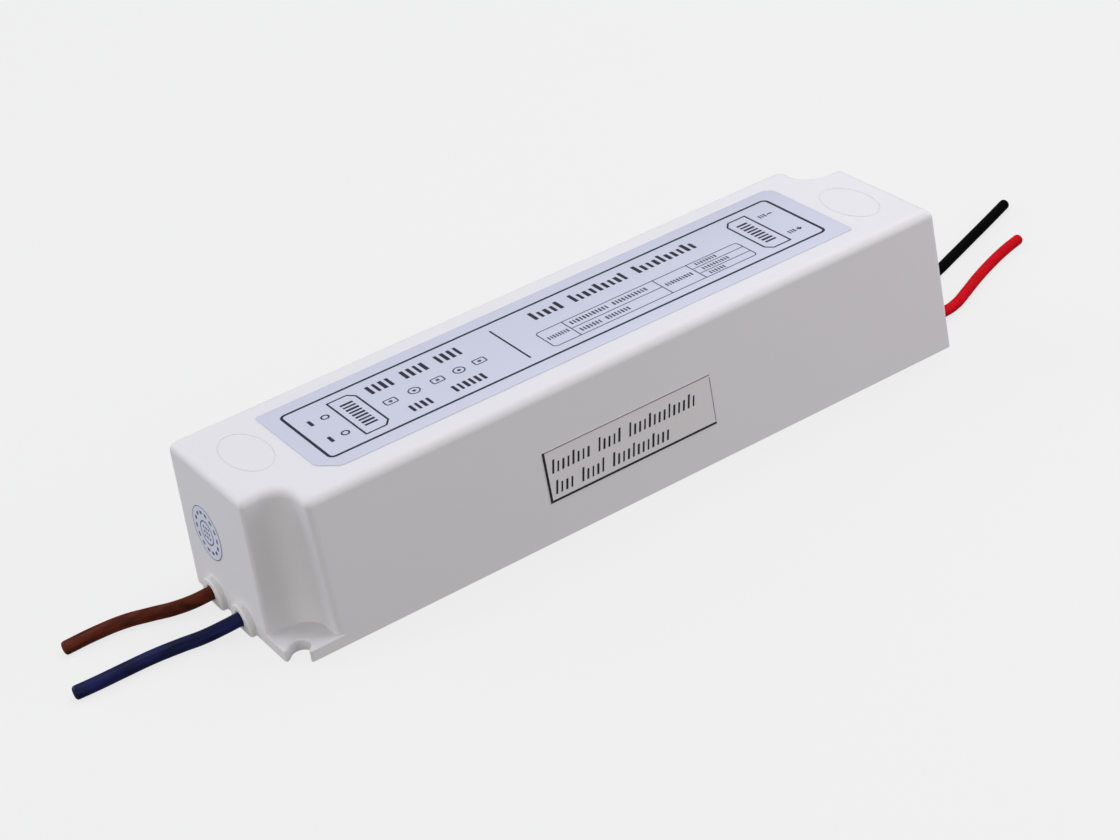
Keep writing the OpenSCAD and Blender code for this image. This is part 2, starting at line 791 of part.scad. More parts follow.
// Upright disc on two pins, with its flat sides facing along the board.
module disc_part(at, points, d, t) {
    translate([at.x - t / 2, at.y, board_top + pin_d + d / 2])
        rotate([0, 90, 0])
            cylinder(d = d, h = t);
    pin_set(points, pin_d + d / 2);
}
module fuse() {
    color("black") {
        translate([fuse_at.x, fuse_at.y, board_top])
            cylinder(d = fuse_d, h = fuse_h);
        pin_set(fuse_pins, fuse_h / 2);
    }
}
module varistor() {
    color("royalblue")
        disc_part(varistor_at, varistor_pins, varistor_d, varistor_t);
}
module inrush_limiter() {
    color("darkslategray")
        disc_part(inrush_at, inrush_pins, inrush_d, inrush_t);
}
module film_capacitor() {
    color("goldenrod") {
        translate([film_at.x, film_at.y, board_top + film_h / 2])
            cube([film_l, film_w, film_h], center = true);
        pin_set(film_pins, film_h / 2);
    }
}

module ring_section(grow) {
    translate([ring_bore / 2 - grow, turns_t - grow])
        square([(ring_d - ring_bore) / 2 + 2 * grow, ring_h + 2 * grow]);
}
module choke_core() {
    color("darkgreen")
        translate([choke_at.x, choke_at.y, board_top])
            rotate_extrude()
                ring_section(0);
}
module choke_windings() {
    color("peru") {
        translate([choke_at.x, choke_at.y, board_top])
            for (turn = [0, 180])
                rotate([0, 0, turn - turns_angle / 2])
                    rotate_extrude(angle = turns_angle)
                        difference() {
                            ring_section(turns_t);
                            ring_section(0);
                        }
        pin_set(choke_pins, turns_t / 2);
    }
}
module bridge_rectifier() {
    color("black") {
        translate([bridge_at.x - bridge_l / 2, bridge_at.y + bridge_t / 2, board_top])
            rotate([90, 0, 0])
                linear_extrude(bridge_t)
                    polygon([
                        [0, 0], [bridge_l, 0], [bridge_l, bridge_h - bridge_corner],
                        [bridge_l - bridge_corner, bridge_h], [0, bridge_h]
                    ]);
        pin_set(bridge_pins, bridge_h / 2);
    }
}

// Crimped can of an electrolytic capacitor, drawn as a turned profile.
module can(at, points, d, h) {
    r = d / 2;
    translate([at.x, at.y, board_top])
        rotate_extrude()
            polygon([
                [0, 0], [r, 0], [r, groove_z - groove_depth], [r - groove_depth, groove_z],
                [r, groove_z + groove_depth], [r, h - groove_depth], [r - groove_depth, h], [0, h]
            ]);
    pin_set(points, h / 2);
}
module bulk_capacitor() {
    color("black")
        can(bulk_at, bulk_pins, bulk_d, bulk_h);
}
module output_capacitors() {
    color("darkgreen")
        for (k = [0, 1])
            can(output_caps_at[k], pair_x(output_caps_at[k], output_cap_pitch), output_cap_d, output_cap_h);
}

// Power part, plate and screw about the plate's face, which looks along -Y.
tab_hole_z = board_top + power_lift + power_body_h + power_tab_h / 2;
module heat_sink(face, points, turn) {
    translate([face.x, face.y, 0])
        rotate([0, 0, turn])
            difference() {
                translate([-sink_l / 2, 0, board_top])
                    cube([sink_l, sink_t, sink_h]);
                translate([0, -cut, tab_hole_z])
                    rotate([-90, 0, 0])
                        cylinder(d = screw_d + screw_gap, h = sink_t + 2 * cut);
            }
    pin_set(points, sink_h / 2);
}
module power_part(face, points, turn) {
    foot = board_top + power_lift;
    translate([face.x, face.y, 0])
        rotate([0, 0, turn]) {
            translate([-power_w / 2, -power_t, foot])
                cube([power_w, power_t, power_body_h]);
            difference() {
                translate([-power_w / 2, -power_tab_t, foot])
                    cube([power_w, power_tab_t, power_body_h + power_tab_h]);
                translate([0, -power_tab_t - cut, tab_hole_z])
                    rotate([-90, 0, 0])
                        cylinder(d = screw_d + screw_gap, h = power_tab_t + 2 * cut);
            }
        }
    pin_set(points, power_lift + power_body_h / 2);
}
module input_heat_sink() {
    color("silver")
        heat_sink(transistor_face, input_sink_pins, 0);
}
module output_heat_sink() {
    color("silver")
        heat_sink(rectifier_face, output_sink_pins, 180);
}
module switching_transistor() {
    color("black")
        power_part(transistor_face, transistor_pins, 0);
}
module output_rectifier() {
    color("black")
        power_part(rectifier_face, rectifier_pins, 180);
}
module heat_sink_screws() {
    color("gray")
        for (place = [[transistor_face, 0], [rectifier_face, 180]])
            translate([place[0].x, place[0].y, tab_hole_z])
                rotate([0, 0, place[1]])
                    rotate([-90, 0, 0]) {
                        translate([0, 0, -power_tab_t])
                            cylinder(d = screw_d, h = power_tab_t + sink_t + screw_out);
                        translate([0, 0, -power_tab_t - screw_head_h])
                            cylinder(d = screw_head_d, h = screw_head_h);
                    }
}

module control_chip() {
    color("black")
        translate([chip_at.x, chip_at.y, board_top]) {
            translate([-chip_l / 2, -chip_w / 2, chip_foot_t])
                cube([chip_l, chip_w, chip_h - chip_foot_t]);
            for (p = row_x([0, 0], chip_pitch, 4))
                translate([p.x - chip_foot_w / 2, -chip_span / 2, 0]) {
                    cube([chip_foot_w, chip_span, chip_foot_t]);
                    translate([0, chip_foot / 2, 0])
                        cube([chip_foot_w, chip_span - chip_foot, chip_h / 2]);
                }
        }
}
module resistors() {
    axis_z = board_top + resistor_d / 2;
    color("tan")
        for (at = resistors_at) {
            translate([at.x, at.y, axis_z])
                rotate([0, 90, 0]) {
                    cylinder(d = resistor_waist, h = resistor_l, center = true);
                    cylinder(d = pin_d, h = resistor_pitch, center = true);
                    for (s = [-1, 1])
                        translate([0, 0, s * (resistor_l - resistor_cap_l) / 2])
                            cylinder(d = resistor_d, h = resistor_cap_l, center = true);
                }
            for (p = pair_x(at, resistor_pitch))
                translate([p.x, p.y, axis_z])
                    sphere(d = pin_d);
            pin_set(pair_x(at, resistor_pitch), resistor_d / 2);
        }
}
module coupler() {
    color("black") {
        translate([coupler_at.x, coupler_at.y, board_top + coupler_h / 2])
            cube([coupler_l, coupler_w, coupler_h], center = true);
        pin_set(coupler_pins, coupler_h / 2);
    }
}
module safety_capacitor() {
    color("steelblue")
        disc_part(safety_at, safety_pins, safety_d, safety_t);
}

// Transformer, built about the middle of its core.
transformer_mid = [transformer_at.x, transformer_at.y, board_top + rail_h + bobbin_h / 2];
module core_half() {
    translate([0, 0, -core_t / 2])
        linear_extrude(core_t)
            difference() {
                translate([core_gap / 2, -core_w / 2])
                    square([(core_l - core_gap) / 2, core_w]);
                for (s = [-1, 1])
                    translate([0, s * (core_leg + window_w) / 2])
                        square([window_l, window_w], center = true);
            }
}
module transformer_core() {
    color("dimgray")
        translate(transformer_mid)
            for (turn = [0, 180])
                rotate([0, 0, turn])
                    core_half();
}
tube_half_w = core_leg / 2 + bobbin_gap + bobbin_t;
tube_half_h = core_t / 2 + bobbin_gap + bobbin_t;
module transformer_bobbin() {
    color("black") {
        translate(transformer_mid)
            difference() {
                union() {
                    cube(2 * [bobbin_l / 2, tube_half_w, tube_half_h], center = true);
                    for (s = [-1, 1])
                        translate([s * rail_x, 0, 0])
                            cube([bobbin_t, 2 * bobbin_half_w, bobbin_h], center = true);
                    for (s = [-1, 1])
                        translate([s * rail_x - bobbin_t / 2, -bobbin_half_w, -bobbin_h / 2 - rail_h])
                            cube([bobbin_t, 2 * bobbin_half_w, rail_h]);
                }
                cube([core_l, core_leg + 2 * bobbin_gap, core_t + 2 * bobbin_gap], center = true);
            }
        pin_set(transformer_pins, rail_h / 2);
    }
}
module transformer_winding() {
    color("gold")
        translate(transformer_mid)
            difference() {
                cube([
                    bobbin_l - 2 * bobbin_t, 2 * (bobbin_half_w - winding_in), bobbin_h - 2 * winding_in
                ], center = true);
                cube([core_l, 2 * tube_half_w, 2 * tube_half_h], center = true);
            }
}

module output_choke_core() {
    color("dimgray") {
        translate([output_choke_at.x, output_choke_at.y, board_top]) {
            cylinder(d = output_choke_d, h = output_flange_t);
            cylinder(d = output_stem_d, h = output_choke_h);
            translate([0, 0, output_choke_h - output_flange_t])
                cylinder(d = output_choke_d, h = output_flange_t);
        }
        pin_set(output_choke_pins, output_flange_t / 2);
    }
}
module output_choke_winding() {
    color("peru")
        translate([output_choke_at.x, output_choke_at.y, board_top + output_flange_t])
            difference() {
                cylinder(d = output_choke_d - 2 * winding_in, h = output_choke_h - 2 * output_flange_t);
                translate([0, 0, -cut])
                    cylinder(d = output_stem_d, h = output_choke_h + 2 * cut);
            }
}

case_shell();
base_cover();
potting_compound();
circuit_board();
top_label();
side_sticker();
end_sticker();
brown_grommet();
blue_grommet();
black_grommet();
red_grommet();
brown_lead();
blue_lead();
black_lead();
red_lead();
lead_cores();
fuse();
varistor();
inrush_limiter();
film_capacitor();
choke_core();
choke_windings();
bridge_rectifier();
bulk_capacitor();
input_heat_sink();
switching_transistor();
output_heat_sink();
output_rectifier();
heat_sink_screws();
control_chip();
resistors();
coupler();
safety_capacitor();
transformer_core();
transformer_bobbin();
transformer_winding();
output_capacitors();
output_choke_core();
output_choke_winding();
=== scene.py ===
import json
import math

import bmesh
import bpy
from mathutils import Matrix, Vector


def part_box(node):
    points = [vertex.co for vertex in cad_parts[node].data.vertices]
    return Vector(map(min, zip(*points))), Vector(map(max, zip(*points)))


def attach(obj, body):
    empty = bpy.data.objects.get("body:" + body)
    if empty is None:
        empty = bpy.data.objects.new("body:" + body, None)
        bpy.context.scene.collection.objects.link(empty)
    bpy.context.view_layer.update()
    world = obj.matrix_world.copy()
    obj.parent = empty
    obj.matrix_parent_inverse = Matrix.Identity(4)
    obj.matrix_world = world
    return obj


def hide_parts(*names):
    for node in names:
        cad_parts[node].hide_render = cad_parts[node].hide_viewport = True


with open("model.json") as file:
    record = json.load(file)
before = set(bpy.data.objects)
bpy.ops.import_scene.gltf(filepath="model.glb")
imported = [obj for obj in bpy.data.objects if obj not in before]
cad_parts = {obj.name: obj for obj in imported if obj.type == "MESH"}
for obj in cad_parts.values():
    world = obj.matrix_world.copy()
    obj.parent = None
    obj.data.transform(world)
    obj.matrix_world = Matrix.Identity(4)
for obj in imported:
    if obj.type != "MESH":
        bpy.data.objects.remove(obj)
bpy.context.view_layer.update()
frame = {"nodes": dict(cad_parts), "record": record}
nodes = frame["nodes"]
scene = bpy.context.scene
mm = 0.001  # pieces are modelled in millimetres and scaled once at the end


# a CAD node's corners in millimetres
def boxMm(node):
    low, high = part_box(node)
    return Vector(low) / mm, Vector(high) / mm


caseHigh = boxMm("case_shell")[1]
halfLength = caseHigh.x
halfWidth = caseHigh.y
caseHeight = caseHigh.z

# camera of the photograph, which is 1120 by 840
cameraView = {
    "azimuth": -28.257,
    "elevation": 30.593,
    "roll": -10.024,
    "distance": 536.07,
    "target": (-4.409, 0.0, 11.618),
    "lens": 84.2,
    "sensor": 36.0,
    "clip": (0.01, 20.0),  # nearest and farthest that it sees, in metres
}


def makeCamera():
    around = math.radians(cameraView["azimuth"])
    above = math.radians(cameraView["elevation"])
    tilt = math.radians(cameraView["roll"])
    back = Vector((
        math.sin(around) * math.cos(above),
        -math.cos(around) * math.cos(above),
        math.sin(above),
    ))
    right = Vector((0, 0, 1)).cross(back).normalized()
    up = back.cross(right)
    pictureRight = math.cos(tilt) * right + math.sin(tilt) * up
    pictureUp = math.cos(tilt) * up - math.sin(tilt) * right
    turn = Matrix((pictureRight, pictureUp, back)).transposed().to_4x4()
    place = (Vector(cameraView["target"]) + back * cameraView["distance"]) * mm
    lensData = bpy.data.cameras.new("photoCamera")
    lensData.sensor_fit = "HORIZONTAL"
    lensData.sensor_width = cameraView["sensor"]
    lensData.lens = cameraView["lens"]
    lensData.clip_start, lensData.clip_end = cameraView["clip"]
    camera = bpy.data.objects.new("photoCamera", lensData)
    camera.matrix_world = Matrix.Translation(place) @ turn
    scene.collection.objects.link(camera)
    scene.camera = camera


makeCamera()
print("camera set")


# shared helpers for meshes

def pickFaces(made):
    return [part for part in made["geom"] if isinstance(part, bmesh.types.BMFace)]


# extrudes faces, and takes the old ones away where they would be left inside the shape
def extrudeFaces(bm, faces, keepOld=False):
    grown = pickFaces(bmesh.ops.extrude_face_region(bm, geom=faces))
    if not keepOld:
        bmesh.ops.delete(bm, geom=faces, context="FACES_ONLY")
    return grown


def faceVerts(faces):
    return list(dict.fromkeys(v for f in faces for v in f.verts))


def roundOff(bm, geom, offset, steps, affect="EDGES"):
    return bmesh.ops.bevel(
        bm, geom=geom, offset=offset, segments=steps, profile=0.5, affect=affect, material=-1
    )


# draws a closed ring of edges out again and again, and returns each ring's vertices
def growRings(bm, verts, count):
    edges = list(dict.fromkeys(e for v in verts for e in v.link_edges))
    made = [verts]
    for _ in range(count):
        grown = bmesh.ops.extrude_edge_only(bm, edges=edges)["geom"]
        edges = [g for g in grown if isinstance(g, bmesh.types.BMEdge)]
        made.append([g for g in grown if isinstance(g, bmesh.types.BMVert)])
    return made


weldGap = 1e-5  # vertices closer than this become one


def addPiece(name, bm, finish, replaced=(), smoothAngle=30.0):
    bmesh.ops.remove_doubles(bm, verts=bm.verts[:], dist=weldGap)
    bmesh.ops.recalc_face_normals(bm, faces=bm.faces[:])
    bmesh.ops.scale(bm, vec=(mm, mm, mm), verts=bm.verts[:])
    mesh = bpy.data.meshes.new(name)
    bm.to_mesh(mesh)
    bm.free()
    mesh.polygons.foreach_set("use_smooth", [True] * len(mesh.polygons))
    mesh.set_sharp_from_angle(angle=math.radians(smoothAngle))
    mesh.materials.append(finish)
    piece = bpy.data.objects.new(name, mesh)
    scene.collection.objects.link(piece)
    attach(piece, "root")
    if replaced:
        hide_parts(*replaced)
    return piece


def evenNormals(piece, weight=60):
    weighted = piece.modifiers.new("evenNormals", "WEIGHTED_NORMAL")
    weighted.keep_sharp = True
    weighted.weight = weight


# shared effects for materials

def newGroup(name, inputs, outputs):
    group = bpy.data.node_groups.new(name, "ShaderNodeTree")
    for label, kind, value in inputs:
        socket = group.interface.new_socket(label, in_out="INPUT", socket_type=kind)
        if value is not None:
            socket.default_value = value
    for label in outputs:
        group.interface.new_socket(label, in_out="OUTPUT", socket_type="NodeSocketFloat")
    return group, group.nodes.new("NodeGroupInput"), group.nodes.new("NodeGroupOutput")


def noiseNode(tree, detail, roughness=0.5):
    noise = tree.nodes.new("ShaderNodeTexNoise")
    noise.inputs["Detail"].default_value = detail
    noise.inputs["Roughness"].default_value = roughness
    return noise


skinEffect = {
    "grain": 2600.0, "grainDetail": 3.0, "grainRough": 0.6,
    "cloud": 28.0, "cloudDetail": 4.0,
    "rubFiner": 3.3, "rubDetail": 2.0,  # rubbed patches are this much finer than the clouds
}
strandEffect = {"pitch": 900.0, "waver": 1.5, "bandDetail": 2.0, "cloud": 160.0, "cloudDetail": 3.0}


# fine spark-eroded grain and a slow change of tone, as on a moulding
def makeMouldedSkin():
    group, given, result = newGroup(
        "mouldedSkin",
        [("Vector", "NodeSocketVector", None), ("Grain", "NodeSocketFloat", skinEffect["grain"]),
         ("Cloud", "NodeSocketFloat", skinEffect["cloud"])],
        ["Height", "Tone", "Dull"],
    )
    grain = noiseNode(group, skinEffect["grainDetail"], skinEffect["grainRough"])
    cloud = noiseNode(group, skinEffect["cloudDetail"])
    rub = noiseNode(group, skinEffect["rubDetail"])
    finer = group.nodes.new("ShaderNodeMath")
    finer.operation = "MULTIPLY"
    finer.inputs[1].default_value = skinEffect["rubFiner"]
    link = group.links.new
    for noise in (grain, cloud, rub):
        link(given.outputs["Vector"], noise.inputs["Vector"])
    link(given.outputs["Grain"], grain.inputs["Scale"])
    link(given.outputs["Cloud"], cloud.inputs["Scale"])
    link(given.outputs["Cloud"], finer.inputs[0])
    link(finer.outputs[0], rub.inputs["Scale"])
    link(grain.outputs["Fac"], result.inputs["Height"])
    link(cloud.outputs["Fac"], result.inputs["Tone"])
    link(rub.outputs["Fac"], result.inputs["Dull"])
    return group


# close turns of wire or brushed strokes, as bands along one axis broken up by noise
def makeStrands():
    group, given, result = newGroup(
        "strands",
        [("Vector", "NodeSocketVector", None), ("Pitch", "NodeSocketFloat", strandEffect["pitch"]),
         ("Waver", "NodeSocketFloat", strandEffect["waver"])],
        ["Height", "Tone"],
    )
    bands = group.nodes.new("ShaderNodeTexWave")
    bands.wave_type = "BANDS"
    bands.bands_direction = "X"
    bands.inputs["Detail"].default_value = strandEffect["bandDetail"]
    cloud = noiseNode(group, strandEffect["cloudDetail"])
    cloud.inputs["Scale"].default_value = strandEffect["cloud"]
    link = group.links.new
    link(given.outputs["Vector"], bands.inputs["Vector"])
    link(given.outputs["Vector"], cloud.inputs["Vector"])
    link(given.outputs["Pitch"], bands.inputs["Scale"])
    link(given.outputs["Waver"], bands.inputs["Distortion"])
    link(bands.outputs["Fac"], result.inputs["Height"])
    link(cloud.outputs["Fac"], result.inputs["Tone"])
    return group


mouldedSkin = makeMouldedSkin()
strands = makeStrands()


def startFinish(name):
    finish = bpy.data.materials.new(name)
    finish.use_nodes = True
    tree = finish.node_tree
    place = tree.nodes.new("ShaderNodeTexCoord")
    return finish, tree, tree.nodes["Principled BSDF"], place


def placeGroup(tree, group, values, place, stretch=None):
    node = tree.nodes.new("ShaderNodeGroup")
    node.node_tree = group
    for label, value in values.items():
        node.inputs[label].default_value = value
    source = place.outputs["Object"]
    if stretch:
        mapping = tree.nodes.new("ShaderNodeMapping")
        mapping.inputs["Scale"].default_value = stretch
        tree.links.new(source, mapping.inputs["Vector"])
        source = mapping.outputs["Vector"]
    tree.links.new(source, node.inputs["Vector"])
    return node


def colourBetween(tree, mask, first, second, shader):
    mix = tree.nodes.new("ShaderNodeMix")
    mix.data_type = "RGBA"
    mix.inputs["A"].default_value = (*first, 1.0)
    mix.inputs["B"].default_value = (*second, 1.0)
    tree.links.new(mask, mix.inputs["Factor"])
    tree.links.new(mix.outputs["Result"], shader.inputs["Base Color"])


noiseSpan = (0.3, 0.7)  # most of a noise lies between these


def spreadMask(tree, mask, low, high):
    spread = tree.nodes.new("ShaderNodeMapRange")
    spread.inputs["From Min"].default_value = noiseSpan[0]
    spread.inputs["From Max"].default_value = noiseSpan[1]
    spread.inputs["To Min"].default_value = low
    spread.inputs["To Max"].default_value = high
    tree.links.new(mask, spread.inputs["Value"])
    return spread.outputs["Result"]


def roughBetween(tree, mask, low, high, shader):
    tree.links.new(spreadMask(tree, mask, low, high), shader.inputs["Roughness"])


def bumpFrom(tree, height, strength, depth, shader):
    bump = tree.nodes.new("ShaderNodeBump")
    bump.inputs["Strength"].default_value = strength
    bump.inputs["Distance"].default_value = depth
    tree.links.new(height, bump.inputs["Height"])
    tree.links.new(bump.outputs["Normal"], shader.inputs["Normal"])


plainLook = {  # what a moulded finish has unless its own look says otherwise
    "metal": 0.0, "specular": 0.5, "coat": 0.0, "coatRough": 0.15,
    "milky": 0.0, "milkyReach": (1.0, 0.9, 0.8), "milkyDepth": 0.0008,
}
plainSockets = {
    "Metallic": "metal", "Specular IOR Level": "specular", "Coat Weight": "coat",
    "Coat Roughness": "coatRough", "Subsurface Weight": "milky",
    "Subsurface Radius": "milkyReach", "Subsurface Scale": "milkyDepth",
}


# a moulded, cast or coated surface
def mouldedFinish(name, settings):
    look = {**plainLook, **settings}
    finish, tree, shader, place = startFinish(name)
    scales = {"Grain": look["grain"], "Cloud": look["cloud"]}
    skin = placeGroup(tree, mouldedSkin, scales, place, look.get("stretch"))
    tone = skin.outputs["Tone"]
    if look.get("mottled"):
        tone = spreadMask(tree, tone, 0.0, 1.0)
    colourBetween(tree, tone, look["colour"], look["second"], shader)
    roughBetween(tree, skin.outputs["Dull"], *look["rough"], shader)
    bumpFrom(tree, skin.outputs["Height"], look["bump"], look["depth"], shader)
    for socket, label in plainSockets.items():
        shader.inputs[socket].default_value = look[label]
    return finish


# wound wire, wound tape or brushed metal
def strandFinish(name, look):
    finish, tree, shader, place = startFinish(name)
    lines = placeGroup(
        tree, strands, {"Pitch": look["pitch"], "Waver": look["waver"]}, place, look["stretch"]
    )
    colourBetween(tree, lines.outputs["Tone"], look["colour"], look["second"], shader)
    roughBetween(tree, lines.outputs["Tone"], *look["rough"], shader)
    bumpFrom(tree, lines.outputs["Height"], look["bump"], look["depth"], shader)
    shader.inputs["Metallic"].default_value = look.get("metal", 0.0)
    return finish


# leads, which come first because their room is fixed by the frame

leadShape = {
    "diameter": {"brown_lead": 0.0029, "blue_lead": 0.0029, "black_lead": 0.0024, "red_lead": 0.0024},
    "smoothness": 8,  # points on the curve between two route points
    "sides": 7,
    "cutRound": 0.6,  # rounding of the cut end, in millimetres
    "cutSteps": 5,
    "weld": 1e-4,
}
leadRoutes = {  # in metres, from the grommet's face to the cut end
    "brown_lead": [
        (-0.0822, 0.01125, 0.0024), (-0.086, 0.0116, 0.0021), (-0.09, 0.0131, 0.0016),
        (-0.094, 0.0149, 0.00145), (-0.099, 0.0166, 0.00145), (-0.105, 0.0172, 0.00145),
        (-0.1122, 0.017, 0.00145),
    ],
    "blue_lead": [
        (-0.0822, -0.00125, 0.0024), (-0.086, -0.001, 0.0021), (-0.09, -0.0002, 0.0016),
        (-0.094, 0.0007, 0.00145), (-0.1, 0.0014, 0.00145), (-0.106, 0.0015, 0.00145),
        (-0.112, 0.0015, 0.00145), (-0.1168, 0.0017, 0.00145),
    ],
    "black_lead": [
        (0.0822, 0.00125, 0.0024), (0.087, 0.0015, 0.002), (0.093, 0.0026, 0.0014),
        (0.099, 0.0046, 0.0012), (0.106, 0.0074, 0.0012), (0.114, 0.0107, 0.0012),
        (0.122, 0.014, 0.0012), (0.131, 0.0178, 0.0012),
    ],
    "red_lead": [
        (0.0822, -0.01125, 0.0024), (0.087, -0.0114, 0.0019), (0.092, -0.0099, 0.0013),
        (0.097, -0.0075, 0.0012), (0.1025, -0.0047, 0.0012), (0.1085, -0.002, 0.0012),
        (0.115, 0.0005, 0.0012), (0.1215, 0.0024, 0.0012),
    ],
}
leadLooks = {
    "brown_lead": {"colour": (0.140, 0.024, 0.009), "second": (0.040, 0.006, 0.003), "specular": 0.10},
    "blue_lead": {"colour": (0.010, 0.015, 0.088), "second": (0.003, 0.004, 0.027), "specular": 0.12},
    "black_lead": {"colour": (0.001, 0.001, 0.002), "second": (0.001, 0.001, 0.001), "specular": 0.02},
    "red_lead": {"colour": (0.610, 0.001, 0.008), "second": (0.470, 0.001, 0.006), "specular": 0.05},
}
insulation = {
    "grain": 1500.0, "cloud": 620.0, "rough": (0.36, 0.52), "bump": 0.25, "depth": 0.00006,
    "mottled": True, "stretch": (0.28, 1.0, 1.0),  # streaks along the lead
}


# the lead's middle line as a smooth curve through its route
def leadCurve(name, route):
    line = bpy.data.curves.new(name + "Line", "CURVE")
    line.dimensions = "3D"
    line.resolution_u = leadShape["smoothness"]
    spline = line.splines.new("BEZIER")
    spline.bezier_points.add(len(route) - 1)
    for point, place in zip(spline.bezier_points, route):
        point.co = place
        point.handle_left_type = "AUTO"
        point.handle_right_type = "AUTO"
    return line


def meshOfCurve(line):
    holder = bpy.data.objects.new("curveHolder", line)
    mesh = bpy.data.meshes.new_from_object(holder)
    bpy.data.objects.remove(holder)
    return mesh


def makeLead(node, route):
    low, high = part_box(node)
    side = -1.0 if route[0][0] < 0 else 1.0
    innerX = high[0] if side < 0 else low[0]  # end of the insulation inside the case
    whole = [(innerX, route[0][1], route[0][2])] + route
    line = leadCurve(node, whole)
    middle = meshOfCurve(line)
    path = [v.co.copy() for v in middle.vertices]
    bpy.data.meshes.remove(middle)
    thick = leadShape["diameter"][node]
    line.bevel_depth = thick / 2
    line.bevel_resolution = leadShape["sides"]
    line.use_fill_caps = True
    tube = meshOfCurve(line)
    bpy.data.curves.remove(line)
    bm = bmesh.new()
    bm.from_mesh(tube)
    bpy.data.meshes.remove(tube)
    bmesh.ops.scale(bm, vec=(1 / mm, 1 / mm, 1 / mm), verts=bm.verts[:])
    bmesh.ops.remove_doubles(bm, verts=bm.verts[:], dist=leadShape["weld"])
    caps = [f for f in bm.faces if len(f.verts) == 3]  # the curve fills its ends with triangles
    bmesh.ops.dissolve_faces(bm, faces=caps)
    cutEnd = min(bm.faces, key=lambda f: (f.calc_center_median() - path[-1] / mm).length)
    roundOff(bm, cutEnd.edges[:], leadShape["cutRound"], leadShape["cutSteps"])
    look = {**insulation, **leadLooks[node]}
    colourName = node.split("_")[0]
    finish = mouldedFinish(colourName + "Insulation", look)
    piece = addPiece(colourName + "Lead", bm, finish, (node,))


for leadNode, leadRoute in leadRoutes.items():
    makeLead(leadNode, leadRoute)


# moulded case

caseShape = {
    "recess": (10.0, 10.5),  # corner recess along and across the case
    "recessRound": 5.4,
    "recessEdge": 1.6,  # rounding between a recess and a long side
    "recessEndEdge": 0.9,  # rounding between a recess and an end
    "uprightEdge": 1.0,
    # steps of each rounding, in the order of the plan's corners
    "roundSteps": {"recessEdge": 9, "uprightEdge": 8, "recessEndEdge": 7, "recessRound": 18},
    "near": 2.0,  # a plan vertex this close to a face moves with it
    "onArc": 0.05,
    "slack": 0.01,
    "smooth": 28.0,
    "draft": 1.0,  # how far the walls lean in over the height
    "topRound": 2.0,
    "roundRings": 9,
    "wall": 2.0,
    "ledge": (1.0, 1.6),  # width and height of the cover's seat
    "earHeight": 2.5,
    "slotWidth": 4.4,
    "slotIn": 3.2,
    "slotSteps": 20,
    "prongRound": 1.4,
    "prongSteps": 6,
    "earEdge": 0.32,
    "earSteps": 4,
    "ribs": {"pitch": 46.0, "length": 2.4, "depth": 1.6, "foot": 5.8, "sunk": 0.4},
    "notch": {"radius": 2.5, "axis": 2.4, "past": 1.0, "inside": 4.0, "length": 5.0, "steps": 48},
    "oval": {"size": (9.2, 16.6), "place": (-70.6, 4.2), "line": 0.42, "depth": 0.12, "slope": 0.2,
             "steps": 72},
}
casePlastic = {
    "colour": (0.728, 0.714, 0.732), "second": (0.756, 0.742, 0.760), "grain": 2600.0, "cloud": 26.0,
    "rough": (0.46, 0.58), "bump": 0.22, "depth": 0.00006, "specular": 0.3,
}
recessX = halfLength - caseShape["recess"][0]
recessY = halfWidth - caseShape["recess"][1]


def draftAt(z):
    return caseShape["draft"] * z / caseHeight


# outline of the case at the foot, with its corners rounded
def casePlan(bm):
    corners = [
        (-recessX, -halfWidth), (halfLength, -halfWidth), (halfLength, recessY), (recessX, recessY),
        (recessX, halfWidth), (-halfLength, halfWidth), (-halfLength, -recessY), (-recessX, -recessY),
    ]
    verts = [bm.verts.new((x, y, 0.0)) for x, y in corners]
    bm.faces.new(verts)
    half = len(verts) // 2  # each corner has its like half a turn on
    for k, (label, steps) in enumerate(caseShape["roundSteps"].items()):
        roundOff(bm, [verts[k], verts[k + half]], caseShape[label], steps, "VERTICES")
    bm.faces.ensure_lookup_table()
    return bm.faces[0]


# each plan vertex carries the way it moves where the walls and the recesses draw in
def storePushes(verts, layers):
    near = caseShape["near"]
    centre = Vector((-recessX - caseShape["recessRound"], -recessY - caseShape["recessRound"], 0.0))
    for v in verts:
        side = Vector((0.0, 0.0, 0.0))
        if abs(v.co.x) > halfLength - near:
            side.x = -math.copysign(1.0, v.co.x)
        if abs(v.co.y) > halfWidth - near:
            side.y = -math.copysign(1.0, v.co.y)
        turn = 1.0 if v.co.x + v.co.y < 0 else -1.0  # both recesses read as the front one
        p = v.co * turn
        away = p - centre
        recess = Vector((0.0, 0.0, 0.0))
        if abs(away.length - caseShape["recessRound"]) < caseShape["onArc"]:
            recess = away / caseShape["recessRound"]
        elif p.x < near - halfLength and abs(p.y + recessY) < near:
            recess.y = 1.0
        elif p.y < near - halfWidth and abs(p.x + recessX) < near:
            recess.x = 1.0
        v[layers["plan"]] = v.co
        v[layers["side"]] = side
        v[layers["recess"]] = recess * turn


def placeRing(verts, layers, z, sideIn, recessIn):
    for v in verts:
        v.co = v[layers["plan"]] + sideIn * v[layers["side"]] + recessIn * v[layers["recess"]]
        v.co.z = z


